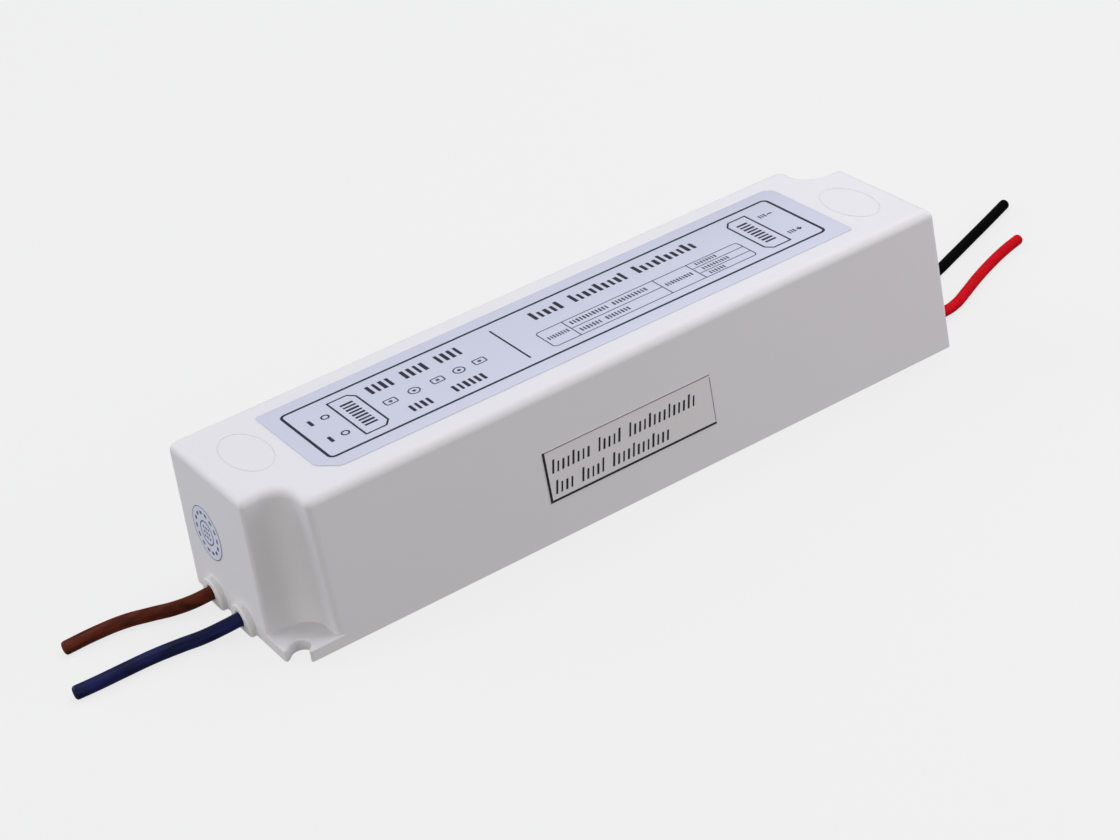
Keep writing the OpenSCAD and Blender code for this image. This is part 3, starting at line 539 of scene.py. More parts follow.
# a slotted ear fills one recess at the foot
def addEar(bm, body, turn):
    ring = list(body.verts)
    first = turn * Vector((-halfLength, caseShape["recessEndEdge"] - recessY, 0.0))
    last = turn * Vector((caseShape["recessEdge"] - recessX, -halfWidth, 0.0))
    start = min(range(len(ring)), key=lambda k: (ring[k].co - first).length)
    ring = ring[start:] + ring[:start]
    stop = min(range(len(ring)), key=lambda k: (ring[k].co - last).length)
    shared = ring[:stop + 1]
    slotIn = caseShape["slotIn"]
    reach = caseShape["slotWidth"] / 2 * math.sqrt(0.5)
    centre = Vector((slotIn - halfLength, slotIn - halfWidth, 0.0))
    tangent = bm.verts.new(turn * (centre + Vector((-reach, reach, 0.0))))
    bmesh.ops.spin(
        bm, geom=[tangent], cent=turn * centre, axis=(0, 0, -1), dvec=(0, 0, 0), angle=math.pi,
        steps=caseShape["slotSteps"], space=Matrix.Identity(4), use_merge=False, use_normal_flip=False,
        use_duplicate=False,
    )
    arc = [tangent]
    while True:
        onward = [e.other_vert(arc[-1]) for e in arc[-1].link_edges]
        onward = [v for v in onward if v not in arc]
        if not onward:
            break
        arc.append(onward[0])
    mouth = 2 * reach  # from the corner to where the slot's sides meet the outer faces
    tips = [
        bm.verts.new(turn * Vector((-halfLength, mouth - halfWidth, 0.0))),
        bm.verts.new(turn * Vector((mouth - halfLength, -halfWidth, 0.0))),
    ]
    bm.faces.new([tips[0], *arc, tips[1], *reversed(shared)])
    roundOff(bm, tips, caseShape["prongRound"], caseShape["prongSteps"], "VERTICES")


def roundLevel(angle):
    up = caseHeight - caseShape["topRound"] * (1 - math.sin(angle))
    turnIn = caseShape["topRound"] * (1 - math.cos(angle))
    return up, draftAt(up) + turnIn, turnIn


def bodyOfCase():
    bm = bmesh.new()
    layers = {label: bm.verts.layers.float_vector.new(label) for label in ("plan", "side", "recess")}
    body = casePlan(bm)
    storePushes(body.verts, layers)
    for turn in (1.0, -1.0):
        addEar(bm, body, turn)
    foot = max(bm.faces, key=lambda f: f.calc_area())
    tops = extrudeFaces(bm, bm.faces[:], True)
    bmesh.ops.translate(bm, vec=(0, 0, caseShape["earHeight"]), verts=faceVerts(tops))
    top = max(tops, key=lambda f: f.calc_area())
    ears = [f for f in tops if f is not top]
    placeRing(top.verts, layers, caseShape["earHeight"], draftAt(caseShape["earHeight"]), 0.0)
    steps = caseShape["roundRings"]
    for level in [roundLevel(math.pi / 2 * k / steps) for k in range(steps + 1)]:
        top = extrudeFaces(bm, [top])[0]
        placeRing(top.verts, layers, *level)
    ledgeWidth, ledgeHeight = caseShape["ledge"]
    ceiling = caseHeight - caseShape["wall"]
    wall = caseShape["wall"]
    for level in (  # hollow of the case, from its foot upwards
        (0.0, ledgeWidth, ledgeWidth),
        (ledgeHeight, ledgeWidth, ledgeWidth),
        (ledgeHeight, wall + draftAt(ledgeHeight), wall),
        (ceiling, wall + draftAt(ceiling), wall),
    ):
        foot = extrudeFaces(bm, [foot])[0]
        placeRing(foot.verts, layers, *level)
    rims = []
    for ear in ears:
        for edge in ear.edges:
            beside = [f for f in edge.link_faces if f is not ear][0]
            if max(v.co.z for v in beside.verts) < caseShape["earHeight"] + caseShape["slack"]:
                rims.append(edge)
    roundOff(bm, rims, caseShape["earEdge"], caseShape["earSteps"])
    for layer in layers.values():
        bm.verts.layers.float_vector.remove(layer)
    bmesh.ops.recalc_face_normals(bm, faces=bm.faces[:])
    return bm


def addBlock(bm, low, high):
    block = bmesh.ops.create_cube(bm, size=1.0)["verts"]
    low, high = Vector(low), Vector(high)
    bmesh.ops.scale(bm, vec=high - low, verts=block)
    bmesh.ops.translate(bm, vec=(low + high) / 2, verts=block)


# ribs inside the long walls
def caseAdditions():
    bm = bmesh.new()
    ribs = caseShape["ribs"]
    inner = halfWidth - caseShape["wall"] - ribs["depth"]
    outer = halfWidth - caseShape["wall"] + ribs["sunk"]
    ceiling = caseHeight - caseShape["wall"] + ribs["sunk"]
    for k in (-1, 0, 1):
        for ends in ((-outer, -inner), (inner, outer)):
            x = k * ribs["pitch"]
            half = ribs["length"] / 2
            addBlock(bm, (x - half, ends[0], ribs["foot"]), (x + half, ends[1], ceiling))
    bmesh.ops.recalc_face_normals(bm, faces=bm.faces[:])
    return bm


# a fine groove round each moulded oval on the top
def addGrooves(bm):
    oval = caseShape["oval"]
    depth, slope = oval["depth"], oval["slope"]
    profile = [(0.0, depth), (slope, -depth), (1.0 - slope, -depth), (1.0, depth)]
    for turn in (1.0, -1.0):
        rim = bmesh.ops.create_circle(bm, segments=oval["steps"], radius=1.0)["verts"]
        for ring, (across, up) in zip(growRings(bm, rim, len(profile) - 1), profile):
            for v in ring:
                flat = Vector((v.co.x, v.co.y, 0.0)).normalized()
                grow = (across - 0.5) * oval["line"]
                v.co.x = turn * oval["place"][0] + flat.x * (oval["size"][0] / 2 + grow)
                v.co.y = turn * oval["place"][1] + flat.y * (oval["size"][1] / 2 + grow)
                v.co.z = caseHeight + up
        loops = [e for e in bm.edges if e.is_boundary]
        bmesh.ops.bridge_loops(bm, edges=loops)


# arched notches for the grommets, open at the foot, and the grooves
def caseNotches():
    bm = bmesh.new()
    notch = caseShape["notch"]
    for name in ("brown", "blue", "black", "red"):
        low, high = boxMm(name + "_grommet")
        middleY = (low.y + high.y) / 2
        side = math.copysign(1.0, low.x + high.x)
        rim = bmesh.ops.create_circle(
            bm, cap_ends=True, segments=notch["steps"], radius=notch["radius"]
        )["verts"]
        for v in rim:
            across, up = v.co.x, v.co.y
            if up < 0 and abs(across) < notch["radius"] - caseShape["slack"]:
                up = -notch["axis"] - notch["past"]
            v.co = Vector((side * (halfLength - notch["inside"]), middleY + across, notch["axis"] + up))
        face = rim[0].link_faces[0]
        grown = extrudeFaces(bm, [face], True)
        bmesh.ops.translate(bm, vec=(side * notch["length"], 0, 0), verts=faceVerts(grown))
    addGrooves(bm)
    bmesh.ops.recalc_face_normals(bm, faces=bm.faces[:])
    return bm


def holderOf(name, bm):
    mesh = bpy.data.meshes.new(name)
    bm.to_mesh(mesh)
    bm.free()
    holder = bpy.data.objects.new(name, mesh)
    scene.collection.objects.link(holder)
    return holder


def makeCase():
    body = holderOf("caseBody", bodyOfCase())
    tools = [("UNION", holderOf("caseAdditions", caseAdditions()))]
    tools.append(("DIFFERENCE", holderOf("caseNotches", caseNotches())))
    for operation, tool in tools:
        cut = body.modifiers.new(operation, "BOOLEAN")
        cut.operation = operation
        cut.solver = "EXACT"
        cut.object = tool
    ready = body.evaluated_get(bpy.context.evaluated_depsgraph_get())
    bm = bmesh.new()
    bm.from_mesh(ready.data)
    for _, tool in tools:
        bpy.data.objects.remove(tool)
    bpy.data.objects.remove(body)
    finish = mouldedFinish("casePlastic", casePlastic)
    piece = addPiece("caseShell", bm, finish, ("case_shell",), caseShape["smooth"])
    evenNormals(piece)
    print("case", len(piece.data.polygons), "faces")


makeCase()


# grommets

grommetShape = {
    "axis": 2.4,  # height of the lead's middle
    "flange": 4.1, "crown": 5.5,  # half width and height of the collar
    "neck": 2.4, "play": 0.1, "rim": 0.4, "lip": 0.25, "innerFoot": 1.75, "steps": 96,
    "rimSteps": 5, "proud": 1.2, "innerFlange": 1.2, "smooth": 40.0,
}
grommetRubber = {
    "colour": (0.735, 0.728, 0.712), "second": (0.770, 0.763, 0.750), "grain": 1400.0, "cloud": 190.0,
    "rough": (0.42, 0.58), "bump": 0.2, "depth": 0.00006, "milky": 0.15,
}


tiny = 1e-6  # keeps a division away from zero


# how far an arch reaches from the lead's middle at an angle: a round crown, upright sides and a foot
def archReach(angle, radius, crown, foot):
    across, up = math.cos(angle), math.sin(angle)
    centre = crown - radius
    reach = centre * up + math.sqrt(radius ** 2 - (centre * across) ** 2)
    if reach * up >= centre:
        return reach
    side = radius / max(abs(across), tiny)
    return min(side, foot / max(-up, tiny))


def makeGrommet(node, finish):
    low, high = boxMm(node)
    side = math.copysign(1.0, low.x + high.x)
    middleY = (low.y + high.y) / 2
    shape = grommetShape
    axis = shape["axis"]
    bore = leadShape["diameter"][node.replace("grommet", "lead")] / mm / 2 + shape["play"]
    face = halfLength + shape["proud"]
    seat = halfLength - caseShape["wall"] - draftAt(shape["crown"])
    rear = seat - shape["innerFlange"]
    flange = [(shape["flange"], shape["crown"] - axis, axis)]
    neck = [(shape["neck"], shape["neck"], axis)]
    inner = [(shape["flange"], shape["crown"] - axis, axis - shape["innerFoot"])] + neck
    rings = [(None, bore, face - shape["lip"]), (None, bore + shape["lip"], face)]
    for k in range(shape["rimSteps"] + 1):
        turn = math.pi / 2 * k / shape["rimSteps"]
        inset = shape["rim"] * (1 - math.sin(turn))
        rings.append((flange, -inset, face - shape["rim"] * (1 - math.cos(turn))))
    rings += [
        (flange, 0.0, None), (neck, 0.0, None), (neck, 0.0, seat), (inner, 0.0, seat),
        (inner, 0.0, rear), (None, bore, rear),
    ]
    bm = bmesh.new()
    verts = bmesh.ops.create_circle(bm, segments=shape["steps"], radius=1.0)["verts"]
    for ring, (arches, grow, x) in zip(growRings(bm, verts, len(rings) - 1), rings):
        for v in ring:
            angle = math.atan2(v.co.y, v.co.x)
            reach = grow  # a plain circle where there is no arch
            if arches:
                reach = max(archReach(angle, r + grow, crown + grow, foot) for r, crown, foot in arches)
            up = axis + reach * math.sin(angle)
            outward = halfLength - draftAt(up) if x is None else x  # None lies on the leaning wall
            v.co = Vector((side * outward, middleY + reach * math.cos(angle), up))
    bmesh.ops.bridge_loops(bm, edges=[e for e in bm.edges if e.is_boundary])
    name = node.split("_")[0] + "Grommet"
    piece = addPiece(name, bm, finish, (node,), shape["smooth"])
    evenNormals(piece)


grommetFinish = mouldedFinish("grommetRubber", grommetRubber)
for leadColour in ("brown", "blue", "black", "red"):
    makeGrommet(leadColour + "_grommet", grommetFinish)
print("grommets made")


# films and print: flat plates drawn in a plane and then laid on the case

def flatFace(bm, points, rounding=0.0, steps=5):
    corners = [bm.verts.new((x, y, 0.0)) for x, y in points]
    face = bm.faces.new(corners)
    if rounding:
        made = roundOff(bm, corners, rounding, steps, "VERTICES")
        face = made["verts"][0].link_faces[0]
    return face


def raiseFaces(bm, faces, height):
    grown = extrudeFaces(bm, faces, True)
    bmesh.ops.translate(bm, vec=(0, 0, height), verts=faceVerts(grown))
    return grown


def boxPoints(centre, size):
    x, y = centre
    halfX, halfY = size[0] / 2, size[1] / 2
    return [(x - halfX, y - halfY), (x + halfX, y - halfY), (x + halfX, y + halfY), (x - halfX, y + halfY)]


inkHeight = 0.012
barSteps = 3
strokeSteps = 2
strokeWidths = (1.0, 0.84, 1.1, 0.92, 1.06)  # shares of a stroke's width, in turn
tallEvery = 4  # one stroke in so many has the full height


def inkBar(bm, centre, size, rounding=0.0):
    raiseFaces(bm, [flatFace(bm, boxPoints(centre, size), rounding, barSteps)], inkHeight)


# a closed line of ink round a face
def inkLine(bm, face, width):
    rim = bmesh.ops.inset_region(
        bm, faces=[face], thickness=width, use_even_offset=True, use_boundary=True
    )["faces"]
    bmesh.ops.delete(bm, geom=[face], context="FACES_ONLY")
    raiseFaces(bm, rim, inkHeight)


def inkDisc(bm, centre, radius, width=None, steps=32):
    verts = bmesh.ops.create_circle(bm, cap_ends=True, segments=steps, radius=radius)["verts"]
    bmesh.ops.translate(bm, vec=(*centre, 0.0), verts=verts)
    face = verts[0].link_faces[0]
    if width:
        inkLine(bm, face, width)
    else:
        raiseFaces(bm, [face], inkHeight)


# runs of plain strokes in place of words, along x or turned along -y
def inkWords(bm, row):
    (startX, startY), words, pitch, height = row["start"], row["words"], row["pitch"], row["height"]
    slant = row.get("slant", 0.0)
    low = row.get("low", 1.0)  # share of the height that the other strokes have
    step = 0.0
    count = 0
    for word in words:
        for k in range(word):
            tall = height if k % tallEvery == 0 else height * low
            wide = pitch * (1 - row["gap"]) * strokeWidths[count % len(strokeWidths)]
            along = (step + k + 0.5) * pitch
            up = (tall - height) / 2
            points = boxPoints((along, up), (wide, tall))
            points = [(x + slant * y, y) for x, y in points]
            if row.get("turned"):
                points = [(y, -x) for x, y in points]
            points = [(startX + x, startY + y) for x, y in points]
            raiseFaces(bm, [flatFace(bm, points, row["round"], strokeSteps)], inkHeight)
            count += 1
        step += word + row["space"]


labelShape = {
    "cuts": (3.8, 1.6),  # front left and back right
    "cornerRound": 0.7, "edge": 0.04, "edgeSteps": 2,
    "border": {"low": (-60.1, -10.9), "high": (59.6, 10.9), "round": 1.5, "steps": 8, "line": 0.62},
    "inputBox": {"low": (-50.8, -8.3), "high": (-44.6, 8.1), "cut": (1.4, 1.7), "line": 0.42},
    "outputBox": {"low": (46.1, -8.4), "high": (52.1, 8.1), "cut": (1.4, 1.7), "line": 0.42},
    "boxRound": 0.25,
    "table": {"low": (-7.0, -8.05), "high": (43.6, -0.3), "round": 1.0, "steps": 6, "line": 0.26},
    "columns": (-0.5, 22.0, 30.5), "rows": 3,
    "rule": {"place": (-12.6, 0.0), "size": (0.42, 15.6)},
    "rings": {"x": -53.25, "y": (3.75, -4.5), "radius": 0.95, "line": 0.36},
    "dashes": {"x": -56.5, "size": (0.75, 2.3), "round": 0.15},  # beside the rings
    "signs": {"x": 56.2, "minus": 4.8, "plus": -5.5, "size": 1.3, "line": 0.4},
    "badges": {"x": (-41.0, -35.6, -30.2, -25.2, -20.4), "y": -0.9, "radius": 1.35, "box": (2.9, 2.3),
               "round": 0.5, "steps": 4, "line": 0.32, "dot": 0.42, "dotSteps": 20},
}
boldRow = {"gap": 0.46, "space": 1.3, "round": 0.12}
fineRow = {"gap": 0.45, "space": 1.4, "round": 0.05}
rowKeys = ("start", "words", "pitch", "height", "turned", "low")  # a short row leaves the last ones out
boldWords = [
    ((-47.75, 5.6), (9,), 1.25, 2.9, True),
    ((49.1, 5.6), (9,), 1.25, 2.7, True),
    ((-42.6, 5.95), (4, 4, 4), 1.5, 3.5),
    ((-3.9, 6.1), (5, 9, 10), 1.55, 3.6, False, 0.74),
    ((-40.0, -6.6), (4,), 1.3, 2.7),
    ((-30.2, -6.6), (6,), 1.3, 2.7),
]
fineWords = [
    ((53.4, 4.9), (3,), 0.64, 1.4),
    ((53.4, -5.4), (3,), 0.64, 1.4),
    ((-6.2, -4.15), (8,), 0.64, 1.4),
    ((0.4, -2.2), (12, 11), 0.78, 1.5),
    ((0.4, -6.1), (7, 8), 0.74, 1.5),
    ((22.8, -4.15), (10,), 0.68, 1.4),
    ((32.0, -1.6), (8,), 0.68, 1.2),
    ((32.0, -4.2), (10,), 0.68, 1.2),
    ((32.0, -6.75), (6,), 0.68, 1.2),
]
labelFilm = {
    "colour": (0.562, 0.575, 0.684), "second": (0.588, 0.601, 0.710), "grain": 1800.0, "cloud": 34.0,
    "rough": (0.36, 0.46), "bump": 0.05, "depth": 0.00002, "specular": 0.42,
}
labelInk = {
    "colour": (0.010, 0.013, 0.028), "second": (0.016, 0.020, 0.038), "grain": 2600.0, "cloud": 300.0,
    "rough": (0.4, 0.52), "bump": 0.08, "depth": 0.00002, "specular": 0.3,
}
labelGreyInk = {**labelInk, "colour": (0.045, 0.052, 0.080), "second": (0.060, 0.068, 0.100)}


def cutBox(bm, settings, towards):
    (lowX, lowY), (highX, highY) = settings["low"], settings["high"]
    cutX, cutY = settings["cut"]
    if towards > 0:
        points = [
            (lowX, lowY), (highX - cutX, lowY), (highX, lowY + cutY), (highX, highY - cutY),
            (highX - cutX, highY), (lowX, highY),
        ]
    else:
        points = [
            (lowX + cutX, lowY), (highX, lowY), (highX, highY), (lowX + cutX, highY),
            (lowX, highY - cutY), (lowX, lowY + cutY),
        ]
    inkLine(bm, flatFace(bm, points, labelShape["boxRound"], barSteps), settings["line"])


def cornersOf(settings):
    (lowX, lowY), (highX, highY) = settings["low"], settings["high"]
    return [(lowX, lowY), (highX, lowY), (highX, highY), (lowX, highY)]


def makeLabel():
    low, high = boxMm("top_label")
    front, rear = labelShape["cuts"]
    points = [
        (low.x + front, low.y), (high.x, low.y), (high.x, high.y - rear),
        (high.x - rear, high.y), (low.x, high.y), (low.x, low.y + front),
    ]
    bm = bmesh.new()
    top = raiseFaces(bm, [flatFace(bm, points, labelShape["cornerRound"])], high.z - low.z)
    roundOff(bm, [e for f in top for e in f.edges], labelShape["edge"], labelShape["edgeSteps"])
    bmesh.ops.translate(bm, vec=(0, 0, low.z), verts=bm.verts[:])
    addPiece("labelFilm", bm, mouldedFinish("labelFilm", labelFilm), ("top_label",))
    return high.z


# border, boxes, terminals and bold words in dark ink
def drawBoldPrint(bm):
    border = labelShape["border"]
    inkLine(bm, flatFace(bm, cornersOf(border), border["round"], border["steps"]), border["line"])
    cutBox(bm, labelShape["inputBox"], 1)
    cutBox(bm, labelShape["outputBox"], -1)
    rings, dashes = labelShape["rings"], labelShape["dashes"]
    for y in rings["y"]:
        inkDisc(bm, (rings["x"], y), rings["radius"], rings["line"])
        inkBar(bm, (dashes["x"], y), dashes["size"], dashes["round"])
    signs = labelShape["signs"]
    x, line, size = signs["x"], signs["line"], signs["size"]
    for y in (signs["minus"], signs["plus"]):
        inkBar(bm, (x, y), (size, line))
    stub = (size - line) / 2
    for up in (1, -1):
        inkBar(bm, (x, signs["plus"] + up * (line + stub) / 2), (line, stub))
    for row in boldWords:
        inkWords(bm, {**boldRow, **dict(zip(rowKeys, row))})
    inkBar(bm, labelShape["rule"]["place"], labelShape["rule"]["size"])


# table, its words and a row of plain badges in greyer ink
def drawFinePrint(bm):
    table = labelShape["table"]
    line = table["line"]
    inkLine(bm, flatFace(bm, cornersOf(table), table["round"], table["steps"]), line)
    (lowX, lowY), (highX, highY) = table["low"], table["high"]
    middleY = (lowY + highY) / 2
    for x in labelShape["columns"]:
        inkBar(bm, (x, middleY), (line, highY - lowY - 2 * line))
    first, second, third = labelShape["columns"]
    inkBar(bm, ((first + second) / 2, middleY), (second - first - line, line))
    for k in range(1, labelShape["rows"]):
        y = lowY + (highY - lowY) * k / labelShape["rows"]
        inkBar(bm, ((third + highX) / 2, y), (highX - third - 2 * line, line))
    badges = labelShape["badges"]
    for k, x in enumerate(badges["x"]):
        place = (x, badges["y"])
        if k % 2:
            inkDisc(bm, place, badges["radius"], badges["line"])
        else:
            box = flatFace(bm, boxPoints(place, badges["box"]), badges["round"], badges["steps"])
            inkLine(bm, box, badges["line"])
        inkDisc(bm, place, badges["dot"], None, badges["dotSteps"])
    for row in fineWords:
        inkWords(bm, {**fineRow, **dict(zip(rowKeys, row))})


def makeLabelPrint(z):
    for name, draw, look in (
        ("labelPrint", drawBoldPrint, labelInk), ("labelFinePrint", drawFinePrint, labelGreyInk)
    ):
        bm = bmesh.new()
        draw(bm)
        bmesh.ops.translate(bm, vec=(0, 0, z), verts=bm.verts[:])
        addPiece(name, bm, mouldedFinish(name + "Ink", look))


makeLabelPrint(makeLabel())
print("label made")


# stickers on the leaning walls

lean = math.atan2(caseShape["draft"], caseHeight)
stickerInk = {**labelInk, "colour": (0.014, 0.016, 0.024), "second": (0.022, 0.024, 0.034)}
slantRow = {"gap": 0.6, "space": 1.2, "round": 0.1, "height": 3.0, "slant": 0.2, "low": 0.76}
sideSticker = {
    "film": 0.1, "cornerRound": 0.3, "cornerSteps": 4,
    "thick": (0.55, 0.5),  # lines at the left and at the foot
    "thin": 0.28, "faint": 0.2, "faintShort": 1.4,
    "words": [
        {**slantRow, "start": (-18.9, 2.0), "words": (8, 5, 14), "pitch": 1.2},
        {**slantRow, "start": (-18.9, -2.7), "words": (4, 5, 12), "pitch": 1.2},
    ],
    "filmLook": {
        "colour": (0.722, 0.703, 0.718), "second": (0.748, 0.729, 0.744), "grain": 1800.0, "cloud": 60.0,
        "rough": (0.40, 0.50), "bump": 0.05, "depth": 0.00002, "specular": 0.3,
    },
    "ink": stickerInk,
    "greyInk": {**stickerInk, "colour": (0.230, 0.222, 0.228), "second": (0.290, 0.282, 0.288)},
}


# from a flat plane to a leaning wall: the plane's middle goes to the node's middle
def wallPlace(node, turn):
    low, high = boxMm(node)
    middle = (low + high) / 2
    return Matrix.Translation(middle) @ turn


def layOn(bm, place, lift):
    bmesh.ops.translate(bm, vec=(0, 0, lift), verts=bm.verts[:])
    bmesh.ops.transform(bm, matrix=place, verts=bm.verts[:])


def makeSideSticker():
    low, high = boxMm("side_sticker")
    place = wallPlace("side_sticker", Matrix.Rotation(math.pi / 2 - lean, 4, "X"))
    length = high.x - low.x
    height = (high.z - low.z) / math.cos(lean)
    film = sideSticker["film"]
    bm = bmesh.new()
    outline = boxPoints((0, 0), (length, height))
    sheet = flatFace(bm, outline, sideSticker["cornerRound"], sideSticker["cornerSteps"])
    raiseFaces(bm, [sheet], film)
    layOn(bm, place, -film / 2)
    finish = mouldedFinish("clearFilm", sideSticker["filmLook"])
    addPiece("sideFilm", bm, finish, ("side_sticker",))
    left, bottom = -length / 2, -height / 2
    thickLeft, thickBottom = sideSticker["thick"]
    bm = bmesh.new()
    inkBar(bm, (left + thickLeft / 2, thickBottom / 2), (thickLeft, height - thickBottom))
    inkBar(bm, (0.0, bottom + thickBottom / 2), (length, thickBottom))
    for row in sideSticker["words"]:
        inkWords(bm, row)
    layOn(bm, place, film / 2)
    addPiece("sidePrint", bm, mouldedFinish("stickerInk", sideSticker["ink"]))
    bm = bmesh.new()
    thin, faint = sideSticker["thin"], sideSticker["faint"]
    inkBar(bm, (thickLeft / 2, -bottom - thin / 2), (length - thickLeft, thin))
    inkBar(bm, (-left - faint / 2, 0.0), (faint, height - sideSticker["faintShort"]))
    layOn(bm, place, film / 2)
    addPiece("sideRule", bm, mouldedFinish("stickerGreyInk", sideSticker["greyInk"]))


endSticker = {
    "film": 0.1, "edge": 0.16, "steps": 72, "circle": 2.75, "circleLine": 0.3, "circleSteps": 48,
    "dashes": {"count": 14, "ring": 4.4, "size": (0.7, 1.05), "round": 0.15},
    "dots": {"pitch": 1.05, "size": 0.6, "round": 0.15},
    "filmLook": {
        "colour": (0.700, 0.722, 0.820), "second": (0.735, 0.757, 0.850), "grain": 1800.0, "cloud": 160.0,
        "rough": (0.3, 0.4), "bump": 0.05, "depth": 0.00002, "specular": 0.4,
    },
    "ink": {**stickerInk, "colour": (0.070, 0.095, 0.240), "second": (0.105, 0.130, 0.290)},
}


def makeEndSticker():
    low, high = boxMm("end_sticker")
    upright = Matrix.Rotation(-math.pi / 2, 4, "Z") @ Matrix.Rotation(math.pi / 2 - lean, 4, "X")
    place = wallPlace("end_sticker", upright)
    radius = (high.y - low.y) / 2
    film = endSticker["film"]
    bm = bmesh.new()
    steps = endSticker["steps"]
    rim = bmesh.ops.create_circle(bm, cap_ends=True, segments=steps, radius=radius)["verts"]
    raiseFaces(bm, [rim[0].link_faces[0]], film)
    layOn(bm, place, -film / 2)
    finish = mouldedFinish("roundFilm", endSticker["filmLook"])
    addPiece("endFilm", bm, finish, ("end_sticker",))
    bm = bmesh.new()
    inkDisc(bm, (0, 0), radius, endSticker["edge"], steps)
    inkDisc(bm, (0, 0), endSticker["circle"], endSticker["circleLine"], endSticker["circleSteps"])
    dashes, dots = endSticker["dashes"], endSticker["dots"]
    for k in range(dashes["count"]):
        angle = 2 * math.pi * k / dashes["count"]
        before = set(bm.verts)
        inkBar(bm, (dashes["ring"], 0.0), dashes["size"], dashes["round"])
        fresh = [v for v in bm.verts if v not in before]
        bmesh.ops.rotate(bm, cent=(0, 0, 0), matrix=Matrix.Rotation(angle, 3, "Z"), verts=fresh)
    for x in (-1, 0, 1):
        for y in (-1, 0, 1):
            centre = (dots["pitch"] * x, dots["pitch"] * y)
            inkBar(bm, centre, (dots["size"], dots["size"]), dots["round"])
    layOn(bm, place, film / 2)
    addPiece("endPrint", bm, mouldedFinish("roundInk", endSticker["ink"]))


makeSideSticker()
makeEndSticker()
print("stickers made")


# finishes of the pieces that stay as the frame has them

keptPlain = {"bump": 0.12, "depth": 0.00005}
woundPlain = {"depth": 0.0002, "stretch": (1.0, 1.0, 1.0)}
secondShare = 0.82  # how much of its first colour a finish keeps in its second
keptLooks = {  # grain, clouds, roughness and what else differs from a plain moulding
    "cover_plastic": {"grain": 2600.0, "cloud": 30.0, "rough": (0.46, 0.6)},
    "potting": {"grain": 500.0, "cloud": 60.0, "rough": (0.3, 0.5), "bump": 0.3},
    "board": {"grain": 900.0, "cloud": 180.0, "rough": (0.25, 0.35), "coat": 0.3},
    "tinned_copper": {"grain": 1600.0, "cloud": 300.0, "rough": (0.25, 0.45), "metal": 1.0},
    "black_mould": {"grain": 2200.0, "cloud": 160.0, "rough": (0.45, 0.6)},
    "blue_epoxy": {"grain": 700.0, "cloud": 220.0, "rough": (0.18, 0.3), "coat": 0.4},
    "dark_ceramic": {"grain": 900.0, "cloud": 220.0, "rough": (0.35, 0.55)},
    "yellow_case": {"grain": 2200.0, "cloud": 120.0, "rough": (0.35, 0.5)},
    "coated_ferrite": {"grain": 900.0, "cloud": 200.0, "rough": (0.4, 0.55)},
    "ferrite": {"grain": 1800.0, "cloud": 240.0, "rough": (0.5, 0.65)},
    "black_sleeve": {"grain": 1500.0, "cloud": 100.0, "rough": (0.25, 0.4)},
    "green_sleeve": {"grain": 1500.0, "cloud": 100.0, "rough": (0.25, 0.4)},
    "screw_steel": {"grain": 2200.0, "cloud": 400.0, "rough": (0.25, 0.42), "metal": 1.0},
    "tan_lacquer": {"grain": 1500.0, "cloud": 400.0, "rough": (0.3, 0.45)},
}
woundLooks = {
    "enamelled_wire": {"pitch": 520.0, "waver": 0.6, "rough": (0.22, 0.36), "metal": 0.8, "bump": 0.8},
    "yellow_tape": {"pitch": 160.0, "waver": 0.4, "rough": (0.3, 0.42), "bump": 0.3},
    "heat_sink": {"pitch": 900.0, "waver": 6.0, "rough": (0.3, 0.48), "metal": 1.0, "bump": 0.2},
}


def darker(colour, share):
    return tuple(value * share for value in colour)


def finishKeptNodes():
    record = frame["record"]
    colours = {m["slot"]: tuple(m["base_color"]) for m in record["materials"]}
    made = {}
    for part in record["subparts"]:
        node, slotName = part["node"], part["material_slot"]
        if slotName in keptLooks:
            look = {**keptPlain, **keptLooks[slotName]}
        elif slotName in woundLooks:
            look = {**woundPlain, **woundLooks[slotName]}
        else:
            continue
        look["colour"] = colours[slotName]
        look["second"] = darker(colours[slotName], secondShare)
        if slotName not in made:
            build = mouldedFinish if slotName in keptLooks else strandFinish
            made[slotName] = build(slotName, look)
        nodes[node].data.materials.clear()
        nodes[node].data.materials.append(made[slotName])
    print("kept nodes finished with", len(made), "finishes")


finishKeptNodes()


# pale floor, soft lights and an even grey room

studio = {
    "floor": 3.0, "floorDrop": 0.00003, "floorTone": (0.865, 0.865, 0.865), "floorGlow": 0.88,
    "floorRough": 0.9,
    "roomLow": (0.210, 0.208, 0.206), "roomHigh": (0.395, 0.391, 0.388), "roomBlend": 0.5,
    "lights": [  # name, place, size, power, colour
        ("topSoftbox", (0.40, 0.06, 0.95), 0.9, 5.7, (0.915, 0.935, 1.0)),
        ("frontSoftbox", (-0.25, -1.15, 0.35), 0.8, 1.2, (1.0, 0.975, 0.975)),
        ("rightFill", (0.42, -0.38, 0.22), 0.3, 0.98, (1.0, 0.955, 1.0)),
        ("backSoftbox", (-0.9, 1.05, 0.6), 1.4, 10.9, (0.87, 0.90, 1.0)),
        ("leftFill", (-1.1, -0.3, 0.35), 0.5, 2.4, (1.0, 0.99, 0.96)),
    ],
}


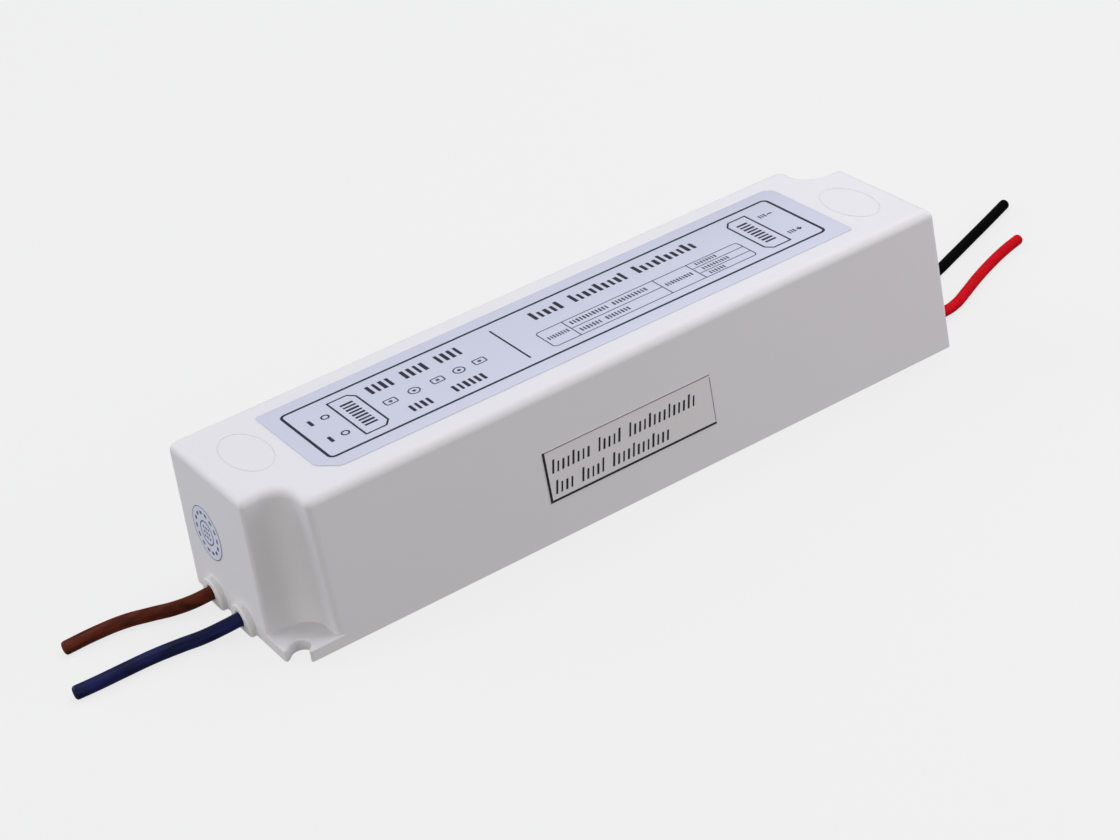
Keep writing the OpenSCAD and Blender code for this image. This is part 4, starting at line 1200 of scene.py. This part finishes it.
def makeFloor():
    bm = bmesh.new()
    bmesh.ops.create_grid(bm, x_segments=1, y_segments=1, size=studio["floor"])
    bmesh.ops.translate(bm, vec=(0, 0, -studio["floorDrop"]), verts=bm.verts[:])
    mesh = bpy.data.meshes.new("floor")
    bm.to_mesh(mesh)
    bm.free()
    floor = bpy.data.objects.new("floor", mesh)
    scene.collection.objects.link(floor)
    finish = bpy.data.materials.new("paleFloor")
    finish.use_nodes = True
    shader = finish.node_tree.nodes["Principled BSDF"]
    tone = studio["floorTone"]
    glow = studio["floorGlow"]
    shader.inputs["Base Color"].default_value = (*darker(tone, 1 - glow), 1.0)
    shader.inputs["Roughness"].default_value = studio["floorRough"]
    shader.inputs["Specular IOR Level"].default_value = 0.0
    shader.inputs["Emission Color"].default_value = (*tone, 1.0)
    shader.inputs["Emission Strength"].default_value = glow
    mesh.materials.append(finish)
    floor.visible_diffuse = False  # the photograph's surface throws no light back on the object
    floor.visible_glossy = False


def makeLights():
    for name, place, size, power, colour in studio["lights"]:
        lamp = bpy.data.lights.new(name, "AREA")
        lamp.shape = "DISK"
        lamp.size = size
        lamp.energy = power
        lamp.color = colour
        holder = bpy.data.objects.new(name, lamp)
        holder.location = place
        holder.rotation_mode = "QUATERNION"
        holder.rotation_quaternion = Vector(place).to_track_quat("Z", "Y")
        scene.collection.objects.link(holder)


# a room that is a little brighter above than below
def makeRoom():
    room = bpy.data.worlds.new("greyRoom")
    room.use_nodes = True
    tree = room.node_tree
    aim = tree.nodes.new("ShaderNodeTexCoord")
    split = tree.nodes.new("ShaderNodeSeparateXYZ")
    tree.links.new(aim.outputs["Generated"], split.inputs["Vector"])
    reach = tree.nodes.new("ShaderNodeMapRange")
    reach.interpolation_type = "SMOOTHSTEP"
    reach.inputs["From Min"].default_value = -studio["roomBlend"]
    reach.inputs["From Max"].default_value = studio["roomBlend"]
    tree.links.new(split.outputs["Z"], reach.inputs["Value"])
    blend = tree.nodes.new("ShaderNodeMix")
    blend.data_type = "RGBA"
    tree.links.new(reach.outputs["Result"], blend.inputs["Factor"])
    for socketName, shade in (("A", "roomLow"), ("B", "roomHigh")):
        socket = [s for s in blend.inputs if s.name == socketName and s.type == "RGBA"][0]
        socket.default_value = (*studio[shade], 1.0)
    blended = [s for s in blend.outputs if s.type == "RGBA"][0]
    tree.links.new(blended, tree.nodes["Background"].inputs["Color"])
    scene.world = room


makeFloor()
makeLights()
makeRoom()
scene.view_settings.view_transform = "Standard"
print("studio set")
